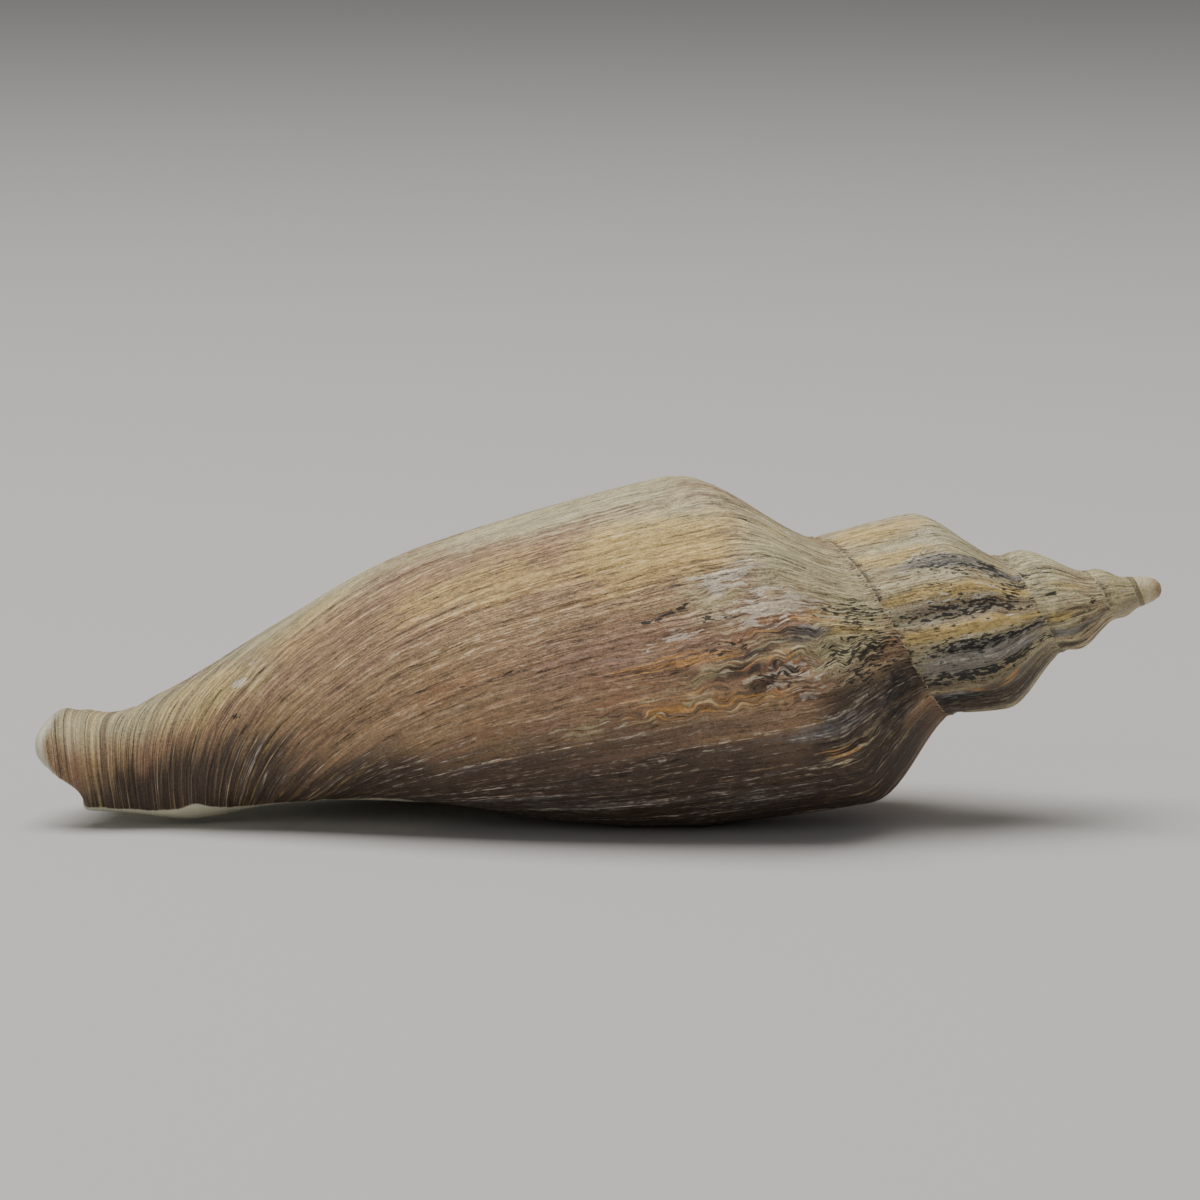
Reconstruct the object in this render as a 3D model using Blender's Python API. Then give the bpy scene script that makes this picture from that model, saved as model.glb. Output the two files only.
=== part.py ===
"""A large spindle-shaped volute seashell, lying on its mouth.

The shell is one grown piece. Its wall is laid down by a mouth that travels round an axis while it
widens, so every form here is a function of the growth phase: 0 turns at the finished lip, -1 one
whole turn earlier, and so on back to the tip. In the shell's own frame the tip is at the origin,
the axis runs along -X to the open canal at the front end, and the lip lies in the half plane +Y.
"""

import math

import bmesh
import bpy
import numpy as np
from mathutils import Matrix, Vector

MM = 0.001

# Phases, in turns, of the half planes where the outline was measured
LIP = 0.0
TOP = -0.31
NEAR = -0.56
BASE = -0.81
PILLAR = -1.0
PHASES = (PILLAR, BASE, NEAR, TOP, LIP)
FIRST_PHASE = -4.25

# Growth, in millimetres: distance of the seam from the tip, and how much it gains in one turn
SEAM_AT_TOP = 44.8
SEAM_GAIN = 2.13
SHOULDER_AT_TOP = 26.9
SHOULDER_GAIN = 0.467
SHOULDER_BEND = -0.062
LIP_EASING = 0.25

# Where a turn meets the next one, as a share of its shoulder's radius, and how that share falls
SIDE_SHARE = 0.98
SIDE_LOSS = 0.11
SIDE_LOSS_GAIN = 1.2

# The shoulder's place between the seam and the side, as (phase, share), and the form around it: the
# ramp mixes an even S with a quarter wave, the flank mixes a straight run with a parabola
CREST_SHARES = ((-2.31, 0.75), (-1.81, 0.55), (-1.31, 0.44), (BASE, 0.36), (TOP, 0.39), (LIP, 0.47))
RAMP_EVENNESS = 0.75
FLANK_STRAIGHTNESS = 0.5

# The last turn in front of its widest part: (distance from the tip, radius) in millimetres,
# from the side of the whorl to the rim of the canal, one outline for each phase in PHASES
FRONT_OUTLINES = {
    LIP: ((88, 26.8), (99, 23.2), (109, 19.6), (118, 16.3), (126, 13.4), (133, 11.3),
          (138, 10.2), (142, 9.8), (144, 9.6)),
    TOP: ((90, 24.6), (99, 23.2), (108, 20.6), (117, 17.0), (126, 13.4), (134, 10.6),
          (139.5, 9.3), (144, 10.5), (146.6, 11.1)),
    NEAR: ((79, 21.8), (89, 20.0), (99, 17.3), (109, 14.2), (119, 11.2), (129, 8.6),
           (136.5, 7.0), (142.5, 7.1), (146.2, 6.2)),
    BASE: ((65.8, 19.9), (76, 17.8), (88, 14.0), (99, 9.8), (110, 7.2), (121, 6.1),
           (131, 6.1), (139, 3.3), (145.2, 1.4)),
    PILLAR: ((56.6, 17.6), (65, 16.2), (75, 13.2), (85, 9.4), (95, 6.6), (106, 5.1),
             (118, 4.4), (129, 3.2), (139, 1.4)),
}
RIM_BULGE = 4.2
RIM_BULGE_PHASE = -0.43
RIM_BULGE_WIDTH = 0.10
RIM_BULGE_BEFORE = 0.6

# The blunt tip, in millimetres, with rings inside its edge as shares of the first outline's distance
# and radius, and weak folds across the early turns, as a share of the radius
TIP_RADIUS = 1.75
TIP_RINGS = ((0.45, 0.80), (0.12, 0.50))
FOLDS_PER_TURN = 16
FOLD_HEIGHT = 0.022
FOLD_FULLNESS = 0.8
FOLDS_END = (-1.65, -1.15)
FOLDS_START = (-3.4, -3.0)

# Towards the front the lip's edge is set back, in turns, between these distances from the tip
LIP_SETBACK = 0.07
LIP_SETBACK_FROM = (105.0, 142.0)
LIP_SETBACK_OVER = (-0.45, 0.0)

# The wall and the hollow, in millimetres; the wall grows thicker with each turn
WALL = 1.7
WALL_GAIN = 1.3
OLDEST_WALL = -2.0
STEEPEST = 1.5
GLAZE = 0.35
PILLAR_SLOPE = 0.042
HOLLOW_BACK = -1.75
HOLLOW_PAST_LIP = 0.06
LIFT_OFF = 0.6
LEAST_GAP = 0.1
LEAST_HALF_WIDTH = 0.25
ROUNDED_FROM = 0.86
LEAST_ROUNDING = 0.02
HOLLOW_TIP = ((PILLAR, 84), (-0.82, 104), (-0.72, 122), (-0.62, 152), (-0.5, 158), (0.1, 158))

# How the shell lies, in degrees, and how deep the spots that it rests on are worn, in millimetres
ROLL = -34.6
PITCH = 10.7
WEAR = 0.15
SLAB = (0.30, 0.20, 0.02)

# Mesh steps: rows are shares of the ramp, from the seam to the shoulder, and of the flank beyond it
STEPS_PER_TURN = 64
RAMP_ROWS = (0.0, 0.25, 0.47, 0.67, 0.85, 1.0)
FLANK_ROWS = (0.13, 0.4, 0.7, 1.0)
WHORL_ROWS = len(RAMP_ROWS) + len(FLANK_ROWS) - 1
FRONT_ROWS = 12
HOLLOW_STEPS_PER_TURN = 28
HOLLOW_ROWS = 12
HOLLOW_SAMPLES = 400
PILLAR_SAMPLES = 60

SHELL_COLOUR = (0.52, 0.38, 0.25, 1.0)
SHELL_ROUGHNESS = 0.45


def smooth_step(x, low=0.0, high=1.0):
    """0 below low, 1 above high, and an even S between."""
    t = np.clip((x - low) / (high - low), 0.0, 1.0)
    return t * t * (3 - 2 * t)


def curve_through(keys, values, x):
    """A smooth curve through values at rising keys, read at x: cubic, with no corners at the keys."""
    keys = np.asarray(keys, float)
    values = np.asarray(values, float)
    slopes = np.gradient(values, keys, axis=0)
    x = np.clip(x, keys[0], keys[-1])
    i = np.clip(np.searchsorted(keys, x) - 1, 0, len(keys) - 2)
    span = keys[i + 1] - keys[i]
    t = (x - keys[i]) / span
    return (
        values[i] * (1 + 2 * t) * (1 - t) ** 2
        + slopes[i] * span * t * (1 - t) ** 2
        + values[i + 1] * t * t * (3 - 2 * t)
        + slopes[i + 1] * span * t * t * (t - 1)
    )


def seam_u(p):
    """How far from the tip the turn at phase p joins the turn before it."""
    return SEAM_AT_TOP * SEAM_GAIN ** (p - TOP)


def shoulder_r(p):
    """Radius of the turn at its shoulder."""
    q = p - TOP
    late = max(q, 0.0)
    growth = SHOULDER_GAIN * q + SHOULDER_BEND * q * q - LIP_EASING * late * late
    return math.hypot(SHOULDER_AT_TOP * math.exp(growth), TIP_RADIUS)


def side_point(p):
    """(distance from the tip, radius) where the next turn joins this one, or would on the last turn."""
    if p > PILLAR:
        sides = np.array([FRONT_OUTLINES[key][0] for key in PHASES])
        sides[0] = side_point(PILLAR)
        return tuple(float(curve_through(PHASES, sides[:, axis], p)) for axis in (0, 1))
    share = SIDE_SHARE - SIDE_LOSS * math.exp(SIDE_LOSS_GAIN * (p - TOP))
    return seam_u(p + 1), shoulder_r(p) * share


def front_outline(p):
    """The outline of the last turn from its side to the rim, at phase p."""
    points = np.array([FRONT_OUTLINES[key] for key in PHASES], float)
    outline = np.array([
        [curve_through(PHASES, points[:, k, axis], p) for axis in (0, 1)] for k in range(points.shape[1])
    ])
    outline[0] = side_point(p)
    bulge = RIM_BULGE * math.exp(-(((p - RIM_BULGE_PHASE) / RIM_BULGE_WIDTH) ** 2))
    outline[-1, 0] += bulge
    outline[-2, 0] += RIM_BULGE_BEFORE * bulge
    return outline


def crest_share(p):
    """Where the shoulder lies, as a share of the way from the seam to the side."""
    return float(np.interp(p, *zip(*CREST_SHARES)))


def whorl_point(p, x):
    """(distance from the tip, radius) at share x of the way from the seam of phase p to its side."""
    side_u, side_r = side_point(p)
    u = seam_u(p) + x * (side_u - seam_u(p))
    start = side_point(p - 1)[1]
    crest = shoulder_r(p)
    x_crest = crest_share(p)
    if x < x_crest:
        t = x / x_crest
        even = t * t * (3 - 2 * t)
        rise = RAMP_EVENNESS * even + (1 - RAMP_EVENNESS) * math.sin(t * math.pi / 2)
        r = start + (crest - start) * rise
    else:
        y = (x - x_crest) / (1 - x_crest)
        fall = FLANK_STRAIGHTNESS * y + (1 - FLANK_STRAIGHTNESS) * y * y
        r = crest + (side_r - crest) * fall
    fold = math.cos(2 * math.pi * FOLDS_PER_TURN * p) * abs(math.sin(math.pi * x)) ** FOLD_FULLNESS
    fade = float(smooth_step(p, *FOLDS_START) * (1 - smooth_step(p, *FOLDS_END)))
    return u, r * (1 + FOLD_HEIGHT * fade * fold)


def outline_at(p):
    """The whole outline at phase p: the whorl's rows, and on the last turn the rows to the rim."""
    crest = crest_share(p)
    rows = [whorl_point(p, crest * t) for t in RAMP_ROWS]
    rows += [whorl_point(p, crest + (1 - crest) * t) for t in FLANK_ROWS]
    if p < PILLAR - 1e-9:
        return np.array(rows)
    front = front_outline(p)
    levels = np.arange(len(front))
    for k in range(1, FRONT_ROWS + 1):
        level = k / FRONT_ROWS * levels[-1]
        rows.append(tuple(float(curve_through(levels, front[:, axis], level)) for axis in (0, 1)))
    return np.array(rows)


def set_back(p, u):
    """The phase where a point grown at phase p really lies, as the front of the lip is set back."""
    share = smooth_step(u, *LIP_SETBACK_FROM) * smooth_step(p, *LIP_SETBACK_OVER)
    return p - LIP_SETBACK * float(share)


def placed(p, u, r):
    """A point of the half plane of phase p, in metres in the shell's own frame."""
    turn = -2 * math.pi * p
    return -u * MM, r * math.cos(turn) * MM, r * math.sin(turn) * MM


def mesh_object(name, points, faces, collection):
    """A mesh object whose faces point outwards."""
    mesh = bpy.data.meshes.new(name)
    mesh.from_pydata([tuple(point) for point in points], [], faces)
    shape = bmesh.new()
    shape.from_mesh(mesh)
    bmesh.ops.recalc_face_normals(shape, faces=shape.faces)
    shape.to_mesh(mesh)
    shape.free()
    piece = bpy.data.objects.new(name, mesh)
    collection.objects.link(piece)
    return piece


def bridge(edge, other, points):
    """Triangles between two rows of points that start at the same point and run the same way."""
    faces = []
    a = b = 0
    while a < len(edge) - 1 or b < len(other) - 1:
        last_a = a == len(edge) - 1
        last_b = b == len(other) - 1
        if last_b or (not last_a and points[edge[a + 1]][0] >= points[other[b + 1]][0]):
            faces.append((edge[a], edge[a + 1], other[b]))
            a += 1
        else:
            faces.append((edge[a], other[b + 1], other[b]))
            b += 1
    return [face for face in faces if len(set(face)) == 3]


def grown_body(collection):
    """The outside of the shell as one solid: the coiled sheet, closed at the tip, mouth and front end."""
    steps = round((LIP - FIRST_PHASE) * STEPS_PER_TURN)
    last_turn = steps - STEPS_PER_TURN
    points = []
    index = {}
    for j in range(steps + 1):
        p = LIP - (steps - j) / STEPS_PER_TURN
        for i, (u, r) in enumerate(outline_at(p)):
            if i == WHORL_ROWS and j + STEPS_PER_TURN <= steps:
                continue
            index[i, j] = len(points)
            points.append(placed(set_back(p, u), u, r))

    def at(i, j):
        if i == WHORL_ROWS and j + STEPS_PER_TURN <= steps:
            return index[0, j + STEPS_PER_TURN]
        return index[i, j]

    faces = []
    for j in range(steps):
        rows = WHORL_ROWS + (FRONT_ROWS if j >= last_turn else 0)
        for i in range(rows):
            faces.append((at(i, j), at(i + 1, j), at(i + 1, j + 1), at(i, j + 1)))

    rows = WHORL_ROWS + FRONT_ROWS
    lip = [at(i, steps) for i in range(rows + 1)]
    pillar = [at(i, last_turn) for i in range(WHORL_ROWS, rows + 1)]
    faces += bridge(lip, pillar, points)

    rim = [at(rows, j) for j in range(last_turn, steps + 1)]
    centre = len(points)
    points.append(tuple(np.mean([points[k] for k in rim], axis=0)))
    faces += [(a, b, centre) for a, b in zip(rim, rim[1:] + rim[:1])]

    ring = [at(0, j) for j in range(STEPS_PER_TURN + 1)] + [at(i, 0) for i in range(WHORL_ROWS - 1, 0, -1)]
    for along, across in TIP_RINGS:
        inner = list(range(len(points), len(points) + len(ring)))
        points += [(points[k][0] * along, points[k][1] * across, points[k][2] * across) for k in ring]
        faces += [
            (a, b, c, d) for a, b, c, d in zip(ring, ring[1:] + ring[:1], inner[1:] + inner[:1], inner)
        ]
        ring = inner
    tip = len(points)
    points.append((0.0, 0.0, 0.0))
    faces += [(a, b, tip) for a, b in zip(ring, ring[1:] + ring[:1])]
    return mesh_object("shell", points, faces, collection)


def pillar_r(p, u):
    """Radius of what lies inside the hollow at phase p: the turn before it, then the pillar."""
    if p > LIP:
        outside = outline_at(p - 1)
        lift = LIFT_OFF * (p - LIP) / HOLLOW_PAST_LIP
        return np.interp(u, outside[:, 0], outside[:, 1]) + GLAZE + lift
    before = np.array(FRONT_OUTLINES[PILLAR], float)
    levels = np.linspace(0, len(before) - 1, PILLAR_SAMPLES)
    at_u = curve_through(np.arange(len(before)), before[:, 0], levels)
    at_r = curve_through(np.arange(len(before)), before[:, 1], levels)
    along = seam_u(p) / before[0, 0]
    across = side_point(p - 1)[1] / before[0, 1]
    turn = np.interp(u, at_u * along, at_r * across)
    pillar = np.minimum(PILLAR_SLOPE * u, np.interp(u, at_u, at_r))
    return np.maximum(turn, pillar) + GLAZE


def hollow_section(p):
    """The hollow's outline in the half plane of phase p, as a closed ring of (u, r)."""
    q = min(p, LIP)
    if q >= PILLAR:
        outside = outline_at(q)
    else:
        before = np.array(FRONT_OUTLINES[PILLAR], float)
        along = seam_u(q + 1) / before[0, 0]
        across = side_point(q)[1] / before[0, 1]
        outside = np.vstack([outline_at(q), before[1:] * (along, across)])
    wall = WALL * WALL_GAIN ** max(q, OLDEST_WALL)
    if q > PILLAR:
        tip = float(curve_through(*zip(*HOLLOW_TIP), q))
    else:
        tip = HOLLOW_TIP[0][1] * SEAM_GAIN ** (q + 1)
    fine = np.linspace(seam_u(q), tip, HOLLOW_SAMPLES)
    outer = np.interp(fine, outside[:, 0], outside[:, 1])
    slope = np.gradient(outer, fine)
    outer = outer - wall * np.sqrt(1 + np.minimum(slope * slope, STEEPEST))
    inner = pillar_r(p, fine)
    gap = outer - inner
    top = fine[np.argmax(gap > LEAST_GAP)]
    share = (1 - np.cos(np.linspace(0, math.pi, HOLLOW_ROWS))) / 2
    u = top + (tip - top) * share
    middle = np.interp(u, fine, (outer + inner) / 2)
    half = np.maximum(np.interp(u, fine, gap / 2), LEAST_HALF_WIDTH)
    end = ((share - ROUNDED_FROM) / (1 - ROUNDED_FROM)).clip(0, 1)
    half = half * np.sqrt(np.clip(1 - end * end, LEAST_ROUNDING, 1))
    return list(zip(u, middle + half)) + list(zip(u, middle - half))[::-1]


def hollow_cutter(collection):
    """The space inside the last turns, run out past the mouth and the front end."""
    count = round((HOLLOW_PAST_LIP - HOLLOW_BACK) * HOLLOW_STEPS_PER_TURN)
    phases = np.linspace(HOLLOW_BACK, HOLLOW_PAST_LIP, count + 1)
    rings = [[placed(p, u, r) for u, r in hollow_section(p)] for p in phases]
    around = len(rings[0])
    faces = [tuple(range(around)), tuple(range(count * around, (count + 1) * around))]
    for j in range(count):
        for i in range(around):
            k = (i + 1) % around
            faces.append((j * around + i, j * around + k, (j + 1) * around + k, (j + 1) * around + i))
    return mesh_object("hollow_cutter", [point for ring in rings for point in ring], faces, collection)


def as_cutter(piece):
    """Marks a helper that only cuts."""
    piece.hide_render = True
    piece.display_type = "WIRE"


def cut_with(piece, cutter):
    """Takes the cutter's volume away from the piece."""
    cut = piece.modifiers.new(cutter.name, "BOOLEAN")
    cut.operation = "DIFFERENCE"
    cut.solver = "EXACT"
    cut.object = cutter


def shell_material():
    """Pale tan shell with a dull, worn face."""
    material = bpy.data.materials.new("worn_shell")
    material.use_nodes = True
    surface = material.node_tree.nodes["Principled BSDF"]
    surface.inputs["Base Color"].default_value = SHELL_COLOUR
    surface.inputs["Roughness"].default_value = SHELL_ROUGHNESS
    surface.inputs["Metallic"].default_value = 0.0
    material.diffuse_color = SHELL_COLOUR
    return material


def lay_down(shell, hollow):
    """Rolls and pitches the shell onto its mouth, centres it, and sinks its lowest spots by WEAR."""
    turn = Matrix.Rotation(math.radians(-PITCH), 4, "Y") @ Matrix.Rotation(math.radians(ROLL), 4, "X")
    corners = np.array([turn @ vertex.co for vertex in shell.data.vertices])
    low, high = corners.min(axis=0), corners.max(axis=0)
    place = Vector((-(low[0] + high[0]) / 2, -(low[1] + high[1]) / 2, -low[2] - WEAR * MM))
    for piece in (shell, hollow):
        piece.matrix_world = Matrix.Translation(place) @ turn


def ground_cutter(collection):
    """A slab under the surface that the shell lies on."""
    slab = bpy.data.meshes.new("ground_cutter")
    shape = bmesh.new()
    bmesh.ops.create_cube(shape, size=1.0)
    bmesh.ops.scale(shape, vec=SLAB, verts=shape.verts)
    bmesh.ops.translate(shape, vec=(0.0, 0.0, -SLAB[2] / 2), verts=shape.verts)
    shape.to_mesh(slab)
    shape.free()
    piece = bpy.data.objects.new("ground_cutter", slab)
    collection.objects.link(piece)
    return piece


def main():
    for old in list(bpy.data.objects):
        bpy.data.objects.remove(old, do_unlink=True)
    scene = bpy.context.scene
    parts = bpy.data.collections.new("volute_shell")
    cutters = bpy.data.collections.new("cutters")
    scene.collection.children.link(parts)
    scene.collection.children.link(cutters)

    shell = grown_body(parts)
    hollow = hollow_cutter(cutters)
    lay_down(shell, hollow)
    ground = ground_cutter(cutters)
    for cutter in (hollow, ground):
        as_cutter(cutter)
        cut_with(shell, cutter)
    shell.data.materials.append(shell_material())
    shell.data.shade_smooth()


if __name__ == "__main__":
    main()
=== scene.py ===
"""Looks of a large volute seashell that lies on its mouth: its fine surface, its finish and its stage.

The shell is one grown piece. Its wall is laid down by a mouth that travels round an axis while it
widens, so its form and its markings are functions of the growth phase: 0 turns at the finished lip,
-1 one whole turn earlier, and so on back to the tip. In the shell's own frame the tip is at the
origin, the axis runs along -X to the open canal at the front end, and the lip lies in the half plane
+Y. Lengths of the growth are in millimetres, as (distance from the tip, radius), and the mesh is in
metres.
"""

import math

import bpy
import numpy as np
from bpy.props import FloatProperty, FloatVectorProperty, PointerProperty
from mathutils import Matrix, Vector


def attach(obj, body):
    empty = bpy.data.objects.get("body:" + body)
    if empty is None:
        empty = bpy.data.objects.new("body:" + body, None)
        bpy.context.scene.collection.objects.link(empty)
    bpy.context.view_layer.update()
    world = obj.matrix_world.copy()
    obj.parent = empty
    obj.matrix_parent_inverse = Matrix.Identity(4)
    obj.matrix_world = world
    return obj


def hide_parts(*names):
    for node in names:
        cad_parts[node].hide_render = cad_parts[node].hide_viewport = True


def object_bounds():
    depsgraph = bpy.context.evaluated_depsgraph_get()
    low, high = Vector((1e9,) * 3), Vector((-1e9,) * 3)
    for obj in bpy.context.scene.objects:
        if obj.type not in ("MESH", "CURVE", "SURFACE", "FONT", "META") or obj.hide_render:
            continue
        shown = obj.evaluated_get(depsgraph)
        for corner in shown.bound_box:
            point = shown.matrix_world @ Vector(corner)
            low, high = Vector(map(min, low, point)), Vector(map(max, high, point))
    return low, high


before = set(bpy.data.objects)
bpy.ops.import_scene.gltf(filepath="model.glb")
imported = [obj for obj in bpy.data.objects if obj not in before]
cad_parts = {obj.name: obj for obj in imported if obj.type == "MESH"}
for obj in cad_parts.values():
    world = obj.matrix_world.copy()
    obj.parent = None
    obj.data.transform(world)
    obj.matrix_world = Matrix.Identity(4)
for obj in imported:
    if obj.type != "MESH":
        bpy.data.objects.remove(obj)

bl_info = {
    "name": "Volute seashell",
    "version": (1, 0, 0),
    "blender": (4, 5, 0),
    "location": "View3D > Sidebar > Shell",
    "description": "Grows a worn volute seashell around its measured form, and sets its stage",
    "category": "Object",
}

BOX = [list(corner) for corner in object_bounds()]
MM = 0.001

# Phases, in turns, of the half planes where the last turn's outline is given. Only the top and the base
# are seen in outline: the near side, the lip and the pillar are set from how the shell grows
LIP = 0.0
TOP = -0.31
NEAR = -0.56
BASE = -0.81
PILLAR = -1.0
PHASES = (PILLAR, BASE, NEAR, TOP, LIP)
FIRST_PHASE = -4.25

# Growth: distance of the seam from the tip, radius at the shoulder, and their gains in one turn
SEAM_AT_TOP = 44.8
SEAM_GAIN = 2.13
SHOULDER_AT_TOP = 26.9
SHOULDER_GAIN = 0.467
SHOULDER_BEND = -0.062
LIP_EASING = 0.25
SIDE_SHARE = 0.98
SIDE_LOSS = 0.11
SIDE_LOSS_GAIN = 1.2
CREST_SHARES = ((-2.31, 0.75), (-1.81, 0.55), (-1.31, 0.44), (BASE, 0.36), (TOP, 0.39), (LIP, 0.47))
RAMP_EVENNESS = 0.75
FLANK_STRAIGHTNESS = 0.5

# The last turn in front of its widest part, from the side of the whorl to the rim of the canal
FRONT_OUTLINES = {
    LIP: ((88, 26.8), (99, 23.2), (109, 19.6), (118, 16.3), (126, 13.4), (133, 11.3),
          (138, 10.2), (142, 9.8), (144, 9.6)),
    TOP: ((90, 24.6), (99, 23.2), (108, 20.6), (117, 17.0), (126, 13.4), (134, 10.6),
          (139.5, 9.3), (144, 10.5), (146.6, 11.1)),
    NEAR: ((79, 21.8), (89, 20.0), (99, 17.3), (109, 14.2), (119, 11.2), (129, 8.6),
           (136.5, 7.0), (142.5, 7.1), (146.2, 6.2)),
    BASE: ((65.8, 19.9), (76, 17.8), (88, 14.0), (99, 9.8), (110, 7.2), (121, 6.1),
           (131, 6.1), (139, 3.3), (145.2, 1.4)),
    PILLAR: ((56.6, 17.6), (65, 16.2), (75, 13.2), (85, 9.4), (95, 6.6), (106, 5.1),
             (118, 4.4), (129, 3.2), (139, 1.4)),
}
RIM_BULGE = 4.2
RIM_BULGE_PHASE = -0.43
RIM_BULGE_WIDTH = 0.10
RIM_BULGE_BEFORE = 0.6

# The blunt tip, with rings inside its edge as shares of the first outline, and weak folds
TIP_RADIUS = 1.75
TIP_RINGS = ((0.80, 0.96), (0.55, 0.86), (0.32, 0.70), (0.14, 0.48), (0.04, 0.24))
FOLDS_PER_TURN = 16
FOLD_HEIGHT = 0.042
FOLDS_STRONGEST = -0.66
FOLDS_WEAKEST = 0.25
FOLD_FULLNESS = 0.8
FOLD_STRAY = 1.1
FOLD_STRAYS_PER_TURN = 3.7
FOLD_UNEVENNESS = 0.4
FOLD_SEED = 1
FOLDS_END = (-1.65, -1.15)
FOLDS_START = (-3.4, -3.0)

# Towards the front the lip's edge is set back, in turns, between these distances from the tip
LIP_SETBACK = 0.07
LIP_SETBACK_FROM = (105.0, 142.0)
LIP_SETBACK_OVER = (-0.45, 0.0)

# The wall, its rounded edge and the hollow
WALL = 1.7
WALL_GAIN = 1.3
OLDEST_WALL = -2.0
STEEPEST = 1.5
EDGE_RADIUS = 0.8
EDGE_FADE = 4.0
GLAZE = 0.35
PILLAR_SLOPE = 0.042
HOLLOW_BACK = -1.75
HOLLOW_PAST_LIP = 0.06
LIFT_OFF = 0.6
LEAST_GAP = 0.1
TIP_CROWDING = 1.5
LEAST_HALF_WIDTH = 0.25
ROUNDED_FROM = 0.86
LEAST_ROUNDING = 0.02
HOLLOW_TIP = ((PILLAR, 84), (-0.82, 104), (-0.72, 122), (-0.62, 152), (-0.5, 158), (0.1, 158))

# Folds that wind along the pillar inside the mouth: where each meets the lip's half plane
PILLAR_FOLDS = (92.0, 103.0, 113.0)
PILLAR_FOLD_HEIGHT = 0.8
PILLAR_FOLD_WIDTH = 1.7

# How the shell lies, in degrees, and how deep the spots that it rests on are worn
ROLL = -34.6
PITCH = 10.7
WEAR = 0.15
FIT = 0.9998

# Mesh steps. Each turn has twice the columns of the one before, down to the least
COLUMNS = 720
LEAST_COLUMNS = 180
RAMP_ROWS = 15
FLANK_ROWS = 16
WHORL_ROWS = RAMP_ROWS + FLANK_ROWS
CROWDING = 1.4
RIM_ROWS_AT = (1.3, 0.95, 0.65, 0.4, 0.2, 0.06, 0.0)

# In front of its side the last turn has bands of rows: (rows, share where the band ends, column step)
FRONT_BANDS = ((11, 0.33, 1), (24, 0.58, 2), (112, 1.0, 4))
HOLLOW_STEPS = 0.0125
HOLLOW_FINE_FROM = -0.0885
HOLLOW_FINE_STEPS = 0.003
HOLLOW_PAST_STEPS = 5
HOLLOW_ROWS = 20
HOLLOW_SAMPLES = 500
OUTLINE_SAMPLES = 160

# Marks on the corners give distances in this many mm, and add a number inside the shell
MARK_UNIT = 100
INSIDE_MARK = 10.0
TINY = 1e-9

# The smooth noise of the relief: its values, and how far each seed shifts it
NOISE_SEED = 11
NOISE_SIZE = 256
NOISE_VALUES = np.random.default_rng(NOISE_SEED).uniform(-1, 1, (NOISE_SIZE, NOISE_SIZE))
SEED_SHIFTS = (37.0, 91.0)

# Growth lines keep their phase on the turns and swing across the canal, where they lie at a distance
# from the tip that is a square law of their phase
LINE_BEND = 0.1
LINE_REACH = 12.0
CANAL_LINES = (-24.5, 42.5, 150.5)
LATEST_LINE = 0.6
LINES_SWING_FROM = (-1.1, -0.98)
LINE_SAMPLES = 600
LINE_SEARCHES = 36

# Relief of the outside: (height, spacing across the growth lines, length along them, seed), in mm
UNDULATIONS = (0.07, 8.0, 45.0, 1)
RIDGES = (0.085, 2.3, 22.0, 2)
FINE_LINES = (0.05, 0.95, 9.0, 3)
CANAL_RIDGES = (0.10, 3.2, 60.0, 4)
CANAL_FROM = (98.0, 118.0)
RIPPLES = (0.42, 1.7, 8.0, 8)

# The ripples sway by a share of their spacing: (share, spacing, length, seed)
RIPPLE_SWAY = (0.8, 9.0, 4.0, 7)

# Flakes broken out of the surface, the more the stronger its layer of chips
FLAKES = (0.16, 2.1, 6.5, 5)
FLAKE_GAIN = 1.3
FLAKE_LEVEL = 0.75
FLAKE_EDGE = 0.12

# The thread and the grooves beside the seam: their heights, widths and places, and how uneven they are
SEAM_THREAD = 0.22
SEAM_THREAD_WIDTH = 0.28
SEAM_GROOVE = 0.2
SEAM_GROOVE_AT = 0.9
SEAM_UNEVENNESS = (0.5, 4.0, 6)
SEAM_REACH = 9.0

# Relief has its full height on turns of this radius, stands under the glaze, and fades at the lip
FULL_SIZE_R = 14.0
GLAZE_HEIGHT = 0.3
CUT_EDGE_GLAZE = -0.8
LIP_FADE = (0.4, 3.5)

# The glaze beside the mouth covers the outside up to these phases, and the rim of the canal's top
GLAZE_EDGE = ((54, -1.03), (58, -0.985), (64, -0.94), (72, -0.905), (90, -0.865), (99, -0.80), (104, -0.735),
              (109, -0.725), (114, -0.735), (119, -0.75), (125, -0.755), (128, -0.715), (131, -0.69),
              (134, -0.695), (138, -0.675), (147, -0.64))
GLAZE_SOFTNESS = 0.016
GLAZE_WAVE = 3.0
GLAZE_SEED = 31
RIM_GLAZE_PHASE = -0.36
RIM_GLAZE_WIDTH = 0.12
RIM_GLAZE_DEPTH = 2.2
RIM_GLAZE_LEAST = -0.6
RIM_GLAZE_FADE = 1.8
RIM_GLAZE_LEAST_FADE = 0.3
RIM_GLAZE_SHARE = 0.6

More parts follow.
